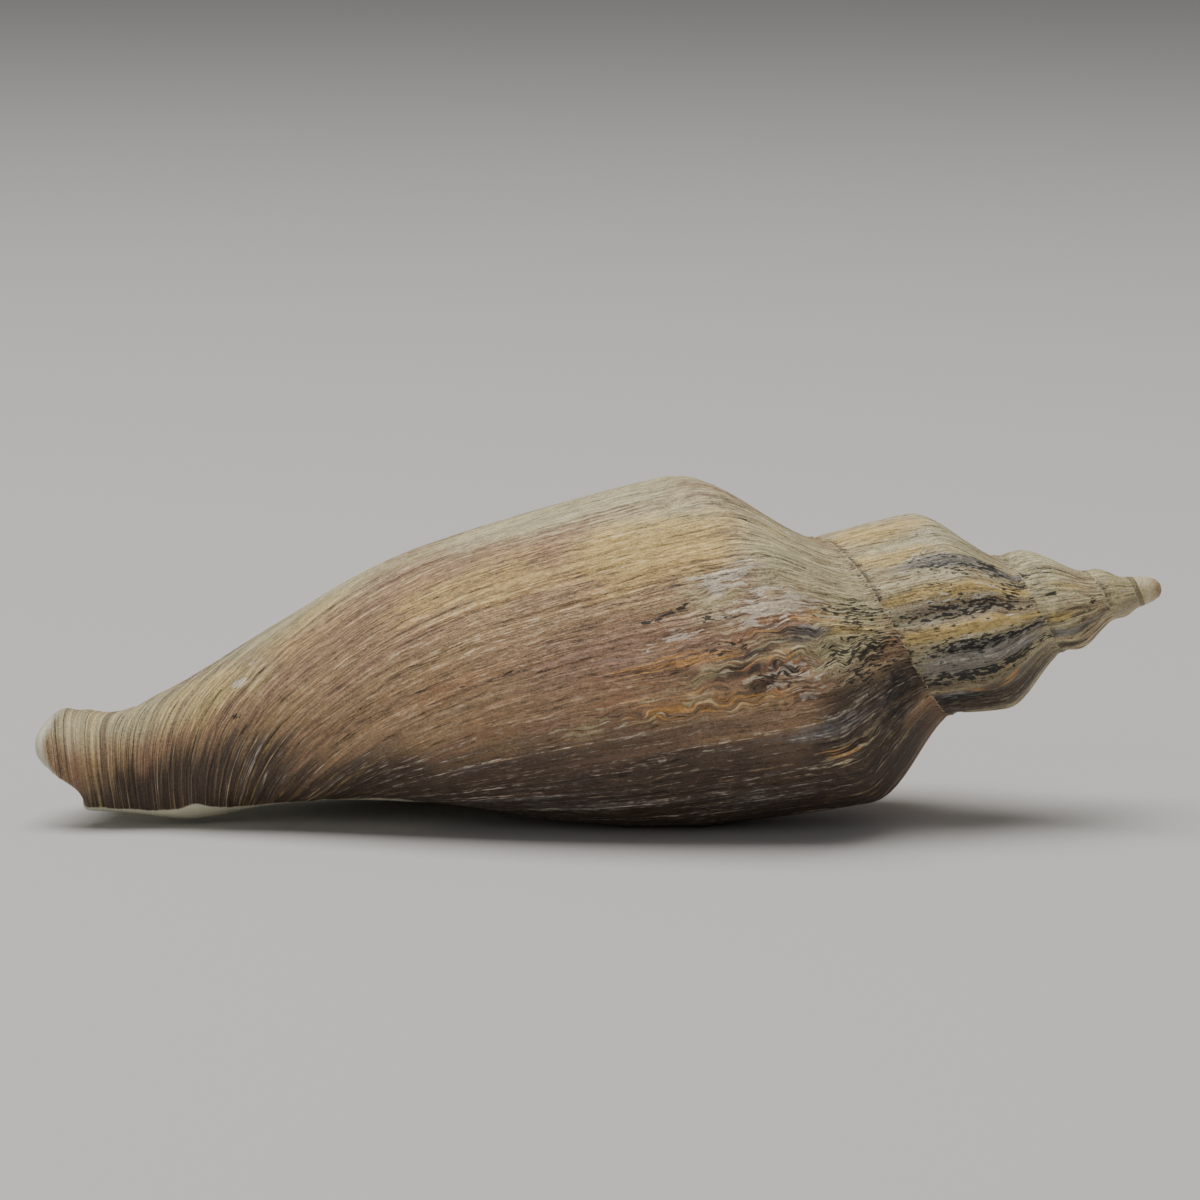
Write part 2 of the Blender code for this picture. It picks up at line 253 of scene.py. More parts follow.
# Where each coloured layer shows: (distance from the tip, phase, half length, half width, strength)
LAYERS = {
    "pale": (
        (74, -0.340, 26, 0.055, 1.0), (62, -0.40, 16, 0.05, 0.7), (50, -0.44, 9, 0.10, 1.0),
        (60, -0.50, 8, 0.035, 0.5), (43, -0.50, 6, 0.12, 0.9), (46, -0.575, 7, 0.03, 0.8),
        (52, -0.572, 8, 0.02, 0.5),
        (31, -1.42, 10, 0.10, 1.0), (27, -1.53, 8, 0.05, 0.6), (17, -2.40, 8, 0.40, 1.0),
        (8, -3.5, 8, 1.2, 1.0), (112, -0.31, 22, 0.09, 0.9), (132, -0.38, 16, 0.10, 0.8),
        (146, -0.38, 5, 0.10, 0.7), (70, -0.23, 30, 0.05, 0.9), (50, -0.20, 12, 0.08, 0.7),
        (62, -0.09, 20, 0.035, 0.6), (30, -1.18, 9, 0.05, 0.9), (28, -1.03, 8, 0.04, 0.8),
        (27, -1.95, 7, 0.06, 0.8)),
    "gold": (
        (68, -0.445, 13, 0.045, 1.1), (86, -0.435, 18, 0.035, 0.7), (112, -0.39, 12, 0.06, 0.5),
        (128, -0.42, 9, 0.08, 0.7), (37, -1.37, 8, 0.035, 0.9), (36, -1.44, 7, 0.018, 0.8),
        (26, -1.512, 15, 0.013, 1.05), (26, -1.573, 15, 0.012, 1.0), (50, -0.40, 7, 0.06, 0.4),
        (15, -2.594, 5, 0.018, 1.2), (14, -2.50, 5, 0.02, 0.7), (7, -3.8, 8, 1.2, 0.45),
        (44, -0.545, 6, 0.012, 0.7), (90, -0.20, 20, 0.03, 0.8),
        (62, -0.145, 12, 0.03, 0.9), (100, -0.08, 14, 0.03, 0.7), (34, -1.12, 9, 0.018, 0.9),
        (32, -1.23, 9, 0.014, 0.8), (27, -1.98, 7, 0.02, 0.9), (31, -0.98, 5, 0.014, 0.8)),
    "slate": (
        (26, -1.458, 12, 0.016, 0.95), (26, -1.622, 13, 0.028, 1.15), (34, -1.70, 8, 0.02, 0.6),
        (15, -2.653, 6, 0.022, 1.15), (16, -2.76, 4, 0.03, 0.8), (48.5, -0.552, 3.5, 0.012, 0.9),
        (60, -0.72, 16, 0.03, 0.5), (84, -0.70, 14, 0.03, 0.5), (50, -0.64, 8, 0.012, 0.6),
        (29, -1.50, 14, 0.22, 0.42), (6, -3.9, 9, 1.3, 0.4), (80, -0.17, 16, 0.02, 0.7),
        (56, -0.055, 10, 0.02, 0.7), (32, -1.16, 9, 0.02, 0.9), (30, -1.07, 9, 0.02, 0.7),
        (26, -1.90, 7, 0.03, 0.8)),
    # The dark layer. Its places on the lower side, from the near side down to the base and under the canal,
    # are partly this layer and partly painted shade
    "dusk_and_shade": (
        (84, -0.73, 50, 0.135, 1.1), (132, -0.64, 20, 0.13, 1.15), (50, -0.75, 18, 0.09, 1.2),
        (108, -0.67, 14, 0.09, 1.1), (44, -0.67, 9, 0.07, 1.25), (60, -0.568, 8, 0.010, 0.8),
        (37, -0.65, 4, 0.06, 1.0), (56, -0.555, 8, 0.006, 0.7),
        (28, -1.74, 14, 0.06, 1.2), (32, -1.665, 9, 0.02, 0.6),
        (15.5, -2.72, 6, 0.035, 0.8), (5, -3.9, 8, 1.2, 0.34), (24, -1.69, 8, 0.03, 0.7),
        (78, -0.025, 30, 0.02, 0.8), (110, -0.13, 18, 0.02, 0.8), (52, -0.11, 9, 0.014, 0.7),
        (34, -1.03, 7, 0.014, 0.7)),
    "orange": (
        (51, -0.534, 9, 0.012, 1.0), (60, -0.594, 18, 0.018, 1.0), (53, -0.575, 9, 0.02, 0.8),
        (67, -0.552, 12, 0.014, 0.95), (47, -0.672, 4.5, 0.012, 0.9), (45, -0.73, 4, 0.02, 0.5),
        (23, -1.68, 2.6, 0.018, 1.1), (27.5, -1.685, 2.2, 0.015, 1.1), (16, -2.72, 3.5, 0.02, 0.9),
        (52, -0.52, 5, 0.01, 0.7), (76, -0.47, 12, 0.008, 0.6), (70, -0.065, 14, 0.006, 1.0),
        (58, -0.185, 8, 0.006, 0.9), (33, -1.085, 7, 0.006, 0.9)),
    "chips": (
        (58, -0.488, 7, 0.022, 1.2), (53, -0.520, 9, 0.03, 1.05), (66, -0.531, 6, 0.008, 1.1),
        (53, -0.58, 10, 0.02, 1.0), (49, -0.595, 6, 0.02, 0.9), (78, -0.50, 12, 0.03, 0.5),
        (124, -0.425, 1.8, 0.010, 1.3), (121, -0.400, 1.4, 0.005, 1.3), (66, -0.40, 18, 0.05, 0.6),
        (50, -0.40, 8, 0.08, 0.7), (31, -1.42, 10, 0.05, 0.8), (27, -1.54, 14, 0.12, 0.66),
        (17, -2.50, 8, 0.25, 0.62),
        (76, -0.53, 16, 0.02, 0.6), (57, -0.205, 9, 0.025, 1.1), (86, -0.10, 12, 0.014, 1.0),
        (112, -0.20, 7, 0.012, 1.0), (52, -0.05, 7, 0.02, 0.9), (33, -1.10, 8, 0.04, 0.8)),
    "specks": (
        (67, -0.512, 8, 0.004, 1.2), (60, -0.520, 4, 0.010, 0.95), (89, -0.530, 6, 0.003, 1.0),
        (43, -0.525, 6, 0.04, 1.05), (41, -0.58, 7, 0.06, 1.15), (38, -0.65, 4, 0.07, 1.1),
        (54, -0.583, 7, 0.012, 1.0), (60, -0.545, 8, 0.010, 0.9),
        (33, -1.40, 7, 0.016, 0.7), (25, -1.475, 12, 0.026, 1.0), (26, -1.546, 17, 0.024, 1.05),
        (26, -1.602, 17, 0.018, 1.1), (26, -1.652, 17, 0.028, 1.05), (32, -1.715, 12, 0.028, 1.1),
        (29, -1.56, 15, 0.20, 0.74), (24, -1.45, 4, 0.03, 1.1), (21, -1.50, 2.5, 0.07, 1.05),
        (17.6, -2.455, 1.8, 0.018, 1.4), (15.6, -2.53, 1.2, 0.012, 1.3), (9, -2.57, 0.7, 0.05, 1.1),
        (30, -1.14, 11, 0.02, 1.0),
        (32, -1.22, 8, 0.012, 1.0), (27, -1.92, 9, 0.04, 1.0), (64, -0.115, 8, 0.007, 1.2),
        (52, -0.225, 6, 0.016, 1.0), (96, -0.165, 6, 0.005, 1.1), (44, -0.10, 4, 0.06, 0.9),
        (19, -2.62, 5, 0.03, 0.8), (117, -0.480, 1.5, 0.008, 1.1),
        (124, -0.485, 1.3, 0.008, 1.1)),
    "ripples": (
        (53, -0.570, 15, 0.045, 1.0), (55, -0.50, 10, 0.02, 0.5), (68, -0.598, 14, 0.012, 1.0),
        (44, -0.69, 8, 0.04, 0.6),
        (60, -0.115, 12, 0.02, 0.8), (50, -0.19, 8, 0.03, 0.7)),
}

# The whole spire is pale from these phases back. Each place of a layer shows fully up to a share of its
# half width and is gone at another, and sways: (reach, spacing, waves in a turn, seed)
SPIRE_PALENESS = 0.62
SPIRE_PALE_FROM = (-1.15, -0.95)
LAYER_CORE = 0.1
LAYER_END = 1.6
LAYER_SWAY = ((2.0, 6.0, 30.0, 21), (0.008, 4.0, 20.0, 22))
TIP_STAIN = (0.3, 1.5)
SUTURE_SPECKS = 0.9
SUTURE_SPECKS_WIDTH = 2.6
SUTURE_SPECKS_FROM = (-3.0, -2.2)

# Noises about 0 that the finish is drawn with. Those drawn out along the growth lines have a seed, a
# spacing across the lines and a length along them, in mm, a detail, and how far they wander, in mm
GRAINS = {
    "hair": (1, 0.34, 16.0, 2, 0.15),
    "thin": (2, 0.85, 30.0, 2, 0.4),
    "broad": (3, 5.0, 60.0, 3, 1.2),
    "bands": (4, 14.0, 90.0, 2, 2.0),
    "chip": (5, 0.8, 3.0, 4, 1.0),
    "strand": (6, 2.2, 45.0, 3, 0.8),
    "crust": (7, 0.42, 1.3, 2, 0.4),
    "dash": (8, 0.36, 1.5, 2, 0.3),
    "rib": (9, 1.45, 26.0, 2, 0.5),
    "curl": (12, 1.1, 6.0, 2, 0.7),
}

# The others have grains of one size, in mm, and a detail
MOTTLES = {"waver": (8.0, 2), "sway": (3.5, 1), "grit": (0.3, 2), "blotch": (12.0, 4)}

# How all the noises are made, and what is worked out from them: a pair is where something starts and
# stops to show, and a group of names says how much each noise adds
NOISE_ROUGHNESS = 0.62
NOISE_SPREAD = 2.6
SEED_STEP = 5.7
SWAY_REACH = 1.5
CANAL_RANGE = (100.0, 124.0)
HAIR_EDGE = (-0.22, 0.22)
DASH_EDGE = (-0.25, 0.3)
SCRATCH_SHARES = (0.36, 0.34, 0.3, -0.35)
WORN = ({"chip": 1, "curl": 0.4, "fine": 0.3}, (0.3, 0.65), -0.6)
PATCHY = ({"broad": 1, "thin": 1, "dash": 0.6}, (-0.3, 0.5))
LINE_WIDTHS = {"strand": 0.04, "thin": 0.06}

# Coats of colour from the lowest: their name, their colour, how much each noise or mark adds, where
# that sum starts and stops to show, the coat's share, and the marks or coats that it keeps within
COATS = (
    ("tan ground", "tan", {"bands": 1, "broad": 0.4, "blotch": 0.4, "thin": 0.3}, (-0.8, 0.8), 1.0),
    ("russet patches", "russet", {"blotch": 1, "thin": 0.6, "bands": -0.5, "dash": 0.3}, (0.0, 0.8), 0.45),
    ("orange tinge", "orange", {"thin": 0.8, "broad": 0.5, "blotch": -0.4}, (0.15, 0.8), 0.3),
    ("grey tinge", "mauve", {"strand": 0.7, "chip": 0.4, "thin": -0.3}, (0.2, 0.7), 0.4),
    ("tan canal", "tan", {"broad": 1, "strand": 0.5, "rib": 0.4}, (-0.5, 0.5), 0.85, "canal"),
    ("pale layer", "cream", {"pale": 1.15, "broad": 0.15, "fine": 0.5, "blotch": 0.3}, (0.15, 1.0), 0.92),
    ("grey in pale", "mauve", {"strand": 0.7, "blotch": 0.5, "dash": 0.3}, (0.1, 0.7), 0.4, "pale layer"),
    ("golden layer", "gold", {"gold": 1.1, "broad": 0.15, "fine": 0.6, "blotch": 0.4, "folds": 0.15},
     (0.2, 1.05), 0.82),
    # The dark layer, and painted shade on the lower side and under the canal
    ("dark layer and painted shade", "dusk_and_shade", {"dusk_and_shade": 1.25, "strand": 0.3, "canal rib": 0.9, "fine": 0.4},
     (0.25, 1.0), 0.92, "unworn"),
    ("grey layer", "slate", {"slate": 1.1, "strand": 0.25, "fine": 0.6, "folds": -0.2}, (0.3, 0.9), 0.8),
    ("grey in dark", "slate", {"strand": 1, "thin": 0.5, "dash": 0.4}, (0.1, 0.7), 0.22, "dark layer and painted shade"),
    ("pale hairs", "chalk", {"hair": 1, "thin": 0.5, "dash": 0.3}, (0.35, 0.85), 0.5, "dark layer and painted shade"),
    ("orange lines", "orange", {"orange": 1, "thin": 0.8, "hair": 0.8, "chip": 0.25}, (0.7, 1.05), 0.85),
    ("rims of chips", "russet", {"chips": 0.85, "chip": 0.75, "fine": 0.3}, (0.5, 0.7), 0.8, "ripples"),
    ("chalky chips", "chalk", {"chips": 0.85, "chip": 0.75, "fine": 0.3}, (0.7, 0.85), 0.72),
    ("bright ripples", "cream", {"curl": 1, "fine": 0.6}, (0.15, 0.4), 0.7, "ripples"),
    ("dark ripples", "dusk_and_shade", {"curl": -1, "fine": -0.5}, (0.25, 0.5), 0.8, "ripples"),
    ("white scratches", "chalk", {"fine": 1, "dash": 0.3, "broad": 0.2}, (0.25, 0.75), 0.42),
    ("dark scratches", "dusk_and_shade", {"fine": -1, "dash": -0.3, "strand": -0.3}, (0.3, 0.8), 0.5),
    ("canal grooves", "dusk_and_shade", {"hair": 0.5, "rib": -1, "chip": 0.3}, (0.1, 0.45), 0.55, "canal"),
    ("canal lines", "dusk_and_shade", {"strand line": 1}, (0.0, 1.0), 0.5, "canal"),
    ("canal ridges", "gold", {"rib": 1, "hair": 0.6, "chip": 0.4}, (0.3, 0.6), 0.35, "canal"),
    ("black crust", "black", {"specks": 0.9, "folds": -0.12, "crust": 0.9, "dash": 0.35, "thin": 0.25},
     (0.85, 1.02), 0.93),
    # Painted shade on each earlier turn, just below the edge of the later turn that overlaps it at the seam
    ("painted seam shade", "dusk_and_shade", {"before_seam": -1, "crust": -0.5}, (-1.3, -0.35), 0.75, "patchy"),
    ("seam thread", "cream", {"seam": -1, "crust": -0.25}, (-0.22, -0.08), 0.8, "patchy"),
    ("stained tip", "rose", {"tip": 1, "grit": 0.2}, (0.3, 0.8), 0.7),
)

# Lightness, glaze, roughness and bump are sums of the same noises and coats
LIGHTNESS = {"fine": 0.62, "grit": 0.5, "dash": 0.25, "hair": 0.15, "blotch": 0.1, "strand line": -0.4,
             "thin line": -0.35}
LIGHTNESS_BASE = 1.06
GLAZE_COAT = ({"glaze": 1, "thin": 0.12, "strand": 0.08}, (0.35, 0.65))
ROUGHNESS = {"thin": 0.08, "grit": 0.06, "glaze coat": -0.34}
ROUGHNESS_BASE = 0.58
BUMPS = {"fine": 0.8, "strand": 0.3, "crust": 0.3, "grit": 0.4, "rippled curl": 1.5, "chalky chips": -0.5,
         "strand line": -0.2, "thin line": -0.15}
BUMP_STRENGTH = 0.8
BUMP_HEIGHT = 0.00018
GLAZE_SMOOTHNESS = -0.92
GLOSS = 0.45

# The stage, in metres, and the camera: where it stands, what it looks at and how it is rolled
SUBJECT = (0.0, 0.0, 0.02)
FLOOR_SIZE = 6.0
FLOOR_ROUGHNESS = 0.7
LIGHT_SIZE = 1.3
LIGHT_PLACE = (-0.25, 0.05, 1.6)
FILL_SIZE = 0.8
FILL_PLACE = (-0.7, -1.2, 0.6)
CAMERA_PLACE = (-0.04767, -0.72735, 0.14318)
CAMERA_AIM = (-0.00011, -0.00075, 0.02924)
CAMERA_ROLL = 0.485
CAMERA_LENS = 166.25
CLIP_START = 0.01


def smooth_step(x, low=0.0, high=1.0):
    """0 below low, 1 above high, and an even S between."""
    t = np.clip((x - low) / (high - low), 0.0, 1.0)
    return t * t * (3 - 2 * t)


def bell(x, middle, width):
    """1 at the middle, and smoothly 0 a few widths away."""
    return np.exp(-(((x - middle) / width) ** 2))


def smooth(x, y, seed):
    """Smooth noise over two numbers, from -1 to 1: the same each run, and no two seeds alike."""
    x, y = (np.asarray(number, float) + shift * seed for number, shift in zip((x, y), SEED_SHIFTS))
    x, y = np.broadcast_arrays(x, y)
    across, along = np.floor(x).astype(int), np.floor(y).astype(int)
    a, b = smooth_step(x - across), smooth_step(y - along)

    def value(i, j):
        return NOISE_VALUES[(across + i) % NOISE_SIZE, (along + j) % NOISE_SIZE]

    low = value(0, 0) * (1 - a) + value(1, 0) * a
    high = value(0, 1) * (1 - a) + value(1, 1) * a
    return low * (1 - b) + high * b


def curve_through(keys, values, x):
    """A smooth curve through values at rising keys, read at x: cubic, with no corners at the keys."""
    keys = np.asarray(keys, float)
    values = np.asarray(values, float)
    slopes = np.gradient(values, keys, axis=0)
    x = np.clip(x, keys[0], keys[-1])
    i = np.clip(np.searchsorted(keys, x) - 1, 0, len(keys) - 2)
    span = keys[i + 1] - keys[i]
    t = (x - keys[i]) / span
    if values.ndim > np.ndim(x):
        extra = (None,) * (values.ndim - 1)
        span = np.asarray(span)[(...,) + extra]
        t = np.asarray(t)[(...,) + extra]
    return (
        values[i] * (1 + 2 * t) * (1 - t) ** 2
        + slopes[i] * span * t * (1 - t) ** 2
        + values[i + 1] * t * t * (3 - 2 * t)
        + slopes[i + 1] * span * t * t * (t - 1)
    )


def seam_u(p):
    """How far from the tip the turn at phase p joins the turn before it."""
    return SEAM_AT_TOP * SEAM_GAIN ** (p - TOP)


def shoulder_r(p):
    """Radius of the turn at its shoulder."""
    q = p - TOP
    late = np.maximum(q, 0.0)
    growth = SHOULDER_GAIN * q + SHOULDER_BEND * q * q - LIP_EASING * late * late
    return np.hypot(SHOULDER_AT_TOP * np.exp(growth), TIP_RADIUS)


def early_side(p):
    """(distance from the tip, radius) where the next turn joins this one."""
    share = SIDE_SHARE - SIDE_LOSS * np.exp(SIDE_LOSS_GAIN * (p - TOP))
    return np.stack([seam_u(p + 1), shoulder_r(p) * share], axis=-1)


def side_point(p):
    """The same for any phase: on the last turn it is where the next one would join."""
    sides = np.array([FRONT_OUTLINES[key][0] for key in PHASES], float)
    sides[0] = early_side(np.float64(PILLAR))
    return np.where((p > PILLAR)[..., None], curve_through(PHASES, sides, p), early_side(p))


def rim_bulge(p):
    """How far forward the canal's rim bulges at phase p."""
    return RIM_BULGE * bell(p, RIM_BULGE_PHASE, RIM_BULGE_WIDTH)


def front_outline(p):
    """The outline of the last turn from its side to the rim, for each phase in p."""
    points = np.array([FRONT_OUTLINES[key] for key in PHASES], float)
    outline = curve_through(PHASES, points, p)
    outline[:, 0] = side_point(p)
    bulge = rim_bulge(p)
    outline[:, -1, 0] += bulge
    outline[:, -2, 0] += RIM_BULGE_BEFORE * bulge
    return outline


def front_curve(p, shares, from_rim):
    """Points of the front outline at shares of its length, then at distances back from its rim."""
    outline = front_outline(p)
    levels = np.linspace(0, outline.shape[1] - 1, OUTLINE_SAMPLES)
    fine = curve_through(np.arange(outline.shape[1]), np.moveaxis(outline, 1, 0), levels)
    fine = np.moveaxis(fine, 0, 1)
    lengths = np.hypot(*np.moveaxis(np.diff(fine, axis=1), 2, 0)).cumsum(axis=1)
    lengths = np.pad(lengths, ((0, 0), (1, 0)))
    points = []
    for row, length in zip(fine, lengths):
        run = length[-1] - max(from_rim)
        at = np.concatenate([np.asarray(shares) * run, length[-1] - np.asarray(from_rim)])
        points.append(np.stack([np.interp(at, length, row[:, axis]) for axis in (0, 1)], axis=-1))
    return np.array(points)


def fold_wave(p):
    """The folds of the spire: about 1 on a strong fold's crest, -1 in its furrow, 0 where there are none."""
    stray = FOLD_STRAY * np.sin(2 * math.pi * FOLD_STRAYS_PER_TURN * p)
    evenness = 1 - FOLD_UNEVENNESS * smooth(p * FOLDS_PER_TURN / 2, 0.0, FOLD_SEED)
    strong = (1 + FOLDS_WEAKEST + (1 - FOLDS_WEAKEST) * np.cos(2 * math.pi * (p - FOLDS_STRONGEST))) / 2
    fade = smooth_step(p, *FOLDS_START) * (1 - smooth_step(p, *FOLDS_END))
    return fade * evenness * strong * np.cos(2 * math.pi * FOLDS_PER_TURN * p + stray)


def whorl_curve(p, shares):
    """Points at shares of the way from the seam to the side: up to 1 on the ramp, 2 at the side."""
    side = side_point(p)
    start = side_point(p - 1)[:, 1, None]
    crest = shoulder_r(p)[:, None]
    x_crest = np.interp(p, *zip(*CREST_SHARES))[:, None]
    shares = np.asarray(shares)[None, :]
    ramp = np.minimum(shares, 1)
    flank = np.maximum(shares - 1, 0)
    x = ramp * x_crest + flank * (1 - x_crest)
    even = ramp * ramp * (3 - 2 * ramp)
    rise = RAMP_EVENNESS * even + (1 - RAMP_EVENNESS) * np.sin(ramp * math.pi / 2)
    fall = FLANK_STRAIGHTNESS * flank + (1 - FLANK_STRAIGHTNESS) * flank * flank
    r = start + (crest - start) * rise + (side[:, 1, None] - crest) * fall
    fold = fold_wave(p)[:, None] * np.abs(np.sin(math.pi * x)) ** FOLD_FULLNESS
    start_u = seam_u(p)[:, None]
    return np.stack([start_u + x * (side[:, 0, None] - start_u), r * (1 + FOLD_HEIGHT * fold)], axis=-1)


def set_back(p, u):
    """The phase where a point grown at phase p really lies, as the front of the lip is set back."""
    return p - LIP_SETBACK * smooth_step(u, *LIP_SETBACK_FROM) * smooth_step(p, *LIP_SETBACK_OVER)


def rounding(distance):
    """How far a face drops at a distance from the rounded edge of the wall."""
    d = np.clip(distance, 0, EDGE_RADIUS)
    return EDGE_RADIUS - np.sqrt(EDGE_RADIUS ** 2 - (EDGE_RADIUS - d) ** 2)


def lip_distance(phase, u, r):
    """Distance along the turn from the lip's edge."""
    lip = set_back(np.float64(LIP), u)
    return (lip - phase) * 2 * math.pi * r


def placed(p, u, r):
    """Points of the half planes of phases p, in metres in the shell's own frame."""
    turn = -2 * math.pi * p
    return np.stack([-u, r * np.cos(turn), r * np.sin(turn)], axis=-1) * MM


class Growing:
    """Collects the points and faces of a mesh, with a (phase, distance from the tip) mark for each corner.

    The coiled sheet and its hollow are put together point by point, as no mesh operator can wind a mouth
    that widens, slides along its axis and changes its outline while it turns.
    """

    def __init__(self):
        self.points = []
        self.marks = []
        self.faces = []
        self.corners = []

    def add(self, points, marks):
        """New points, each with its mark. Gives their numbers."""
        first = len(self.points)
        self.points.extend(map(tuple, points))
        self.marks.extend(map(tuple, marks))
        return list(range(first, len(self.points)))

    def face(self, corners, marks=None):
        """A face, whose corners are marked as their points are, unless it has marks of its own."""
        self.faces.append(tuple(corners))
        self.corners.extend(marks or [self.marks[corner] for corner in corners])

    def band(self, one, two):
        """Faces between two closed rings of points."""
        for corners in zip(one, one[1:] + one[:1], two[1:] + two[:1], two):
            self.face(corners)

    def lid(self, corners):
        """A face across the mouth or the front end, of which only the wall's cut edge stays."""
        marks = [self.marks[corner] for corner in corners]
        self.face(corners, [(phase, INSIDE_MARK + along) for phase, along in marks])

    def finish(self, name):
        """The points and faces as an object whose faces point outwards."""
        mesh = bpy.data.meshes.new(name)
        mesh.from_pydata(self.points, [], self.faces)
        mesh.uv_layers.new(name="growth").data.foreach_set("uv", np.array(self.corners, np.float32).ravel())
        piece = bpy.data.objects.new(name, mesh)
        bpy.context.scene.collection.objects.link(piece)
        select_only(piece)
        bpy.ops.object.mode_set(mode="EDIT")
        bpy.ops.mesh.select_all(action="SELECT")
        bpy.ops.mesh.normals_make_consistent(inside=False)
        bpy.ops.object.mode_set(mode="OBJECT")
        return piece


def select_only(piece):
    """Leaves one object selected and active."""
    bpy.ops.object.select_all(action="DESELECT")
    piece.select_set(True)
    bpy.context.view_layer.objects.active = piece


def grown_columns():
    """The phases of the sheet's columns, rising from the tip to the lip."""
    bands = []
    low = LIP - 1
    count = COLUMNS
    high = LIP
    while high > FIRST_PHASE:
        low = max(low, FIRST_PHASE)
        steps = round((high - low) * count)
        bands.append(high - np.arange(steps) / count)
        high = low
        low -= 1
        count = max(count // 2, LEAST_COLUMNS)
    return np.append(np.concatenate(bands), FIRST_PHASE)[::-1]


def sheet_rows(p):
    """The sheet's points (distance from the tip, radius) for each phase: whorl rows, then front rows."""
    ramp = (np.arange(RAMP_ROWS + 1) / RAMP_ROWS) ** CROWDING
    flank = 2 - (1 - np.arange(1, FLANK_ROWS + 1) / FLANK_ROWS) ** CROWDING
    whorl = whorl_curve(p, np.concatenate([ramp, flank]))
    last = p >= PILLAR - TINY
    if not last.any():
        return whorl
    ends = [0.0] + [end for _, end, _ in FRONT_BANDS]
    shares = [low + (high - low) * np.arange(1, band[0] + 1) / band[0]
              for low, high, band in zip(ends, ends[1:], FRONT_BANDS)]
    front = front_curve(p[last], np.concatenate(shares)[:-1], RIM_ROWS_AT)
    rows = np.full((len(p), whorl.shape[1] + front.shape[1], 2), np.nan)
    rows[:, :whorl.shape[1]] = whorl
    rows[last, whorl.shape[1]:] = front
    return rows


def rounded_sheet(p, rows):
    """Phases and points of the sheet once its lip and rim are rounded inwards."""
    u, r = rows[..., 0], rows[..., 1]
    phase = set_back(p[:, None], u)
    slope = np.gradient(rows, axis=1)
    normal = np.stack([slope[..., 1], -slope[..., 0]], axis=-1)
    normal /= np.linalg.norm(normal, axis=-1, keepdims=True)
    away = rows[:, -1:, :] - rows
    from_rim = np.hypot(away[..., 0], away[..., 1])
    edge = np.fmin(lip_distance(phase, u, r), from_rim)
    off_seam = smooth_step(u - u[:, :1], 0, EDGE_FADE)
    return phase, rows + normal * (rounding(edge) * off_seam)[..., None]


def bridged(edge, other, points):
    """Triangles between two rows of points that start at the same point and run the same way."""
    faces = []
    a = b = 0
    while a < len(edge) - 1 or b < len(other) - 1:
        last_a = a == len(edge) - 1
        last_b = b == len(other) - 1
        if last_b or (not last_a and points[edge[a + 1]][0] >= points[other[b + 1]][0]):
            faces.append((edge[a], edge[a + 1], other[b]))
            a += 1
        else:
            faces.append((edge[a], other[b + 1], other[b]))
            b += 1
    return [face for face in faces if len(set(face)) == 3]


def row_steps(count):
    """How many columns apart the points of each row of the sheet are."""
    steps = [1] * (WHORL_ROWS + 1)
    for rows, _, step in FRONT_BANDS:
        steps += [step] * rows
    return steps + [steps[-1]] * (count - len(steps))


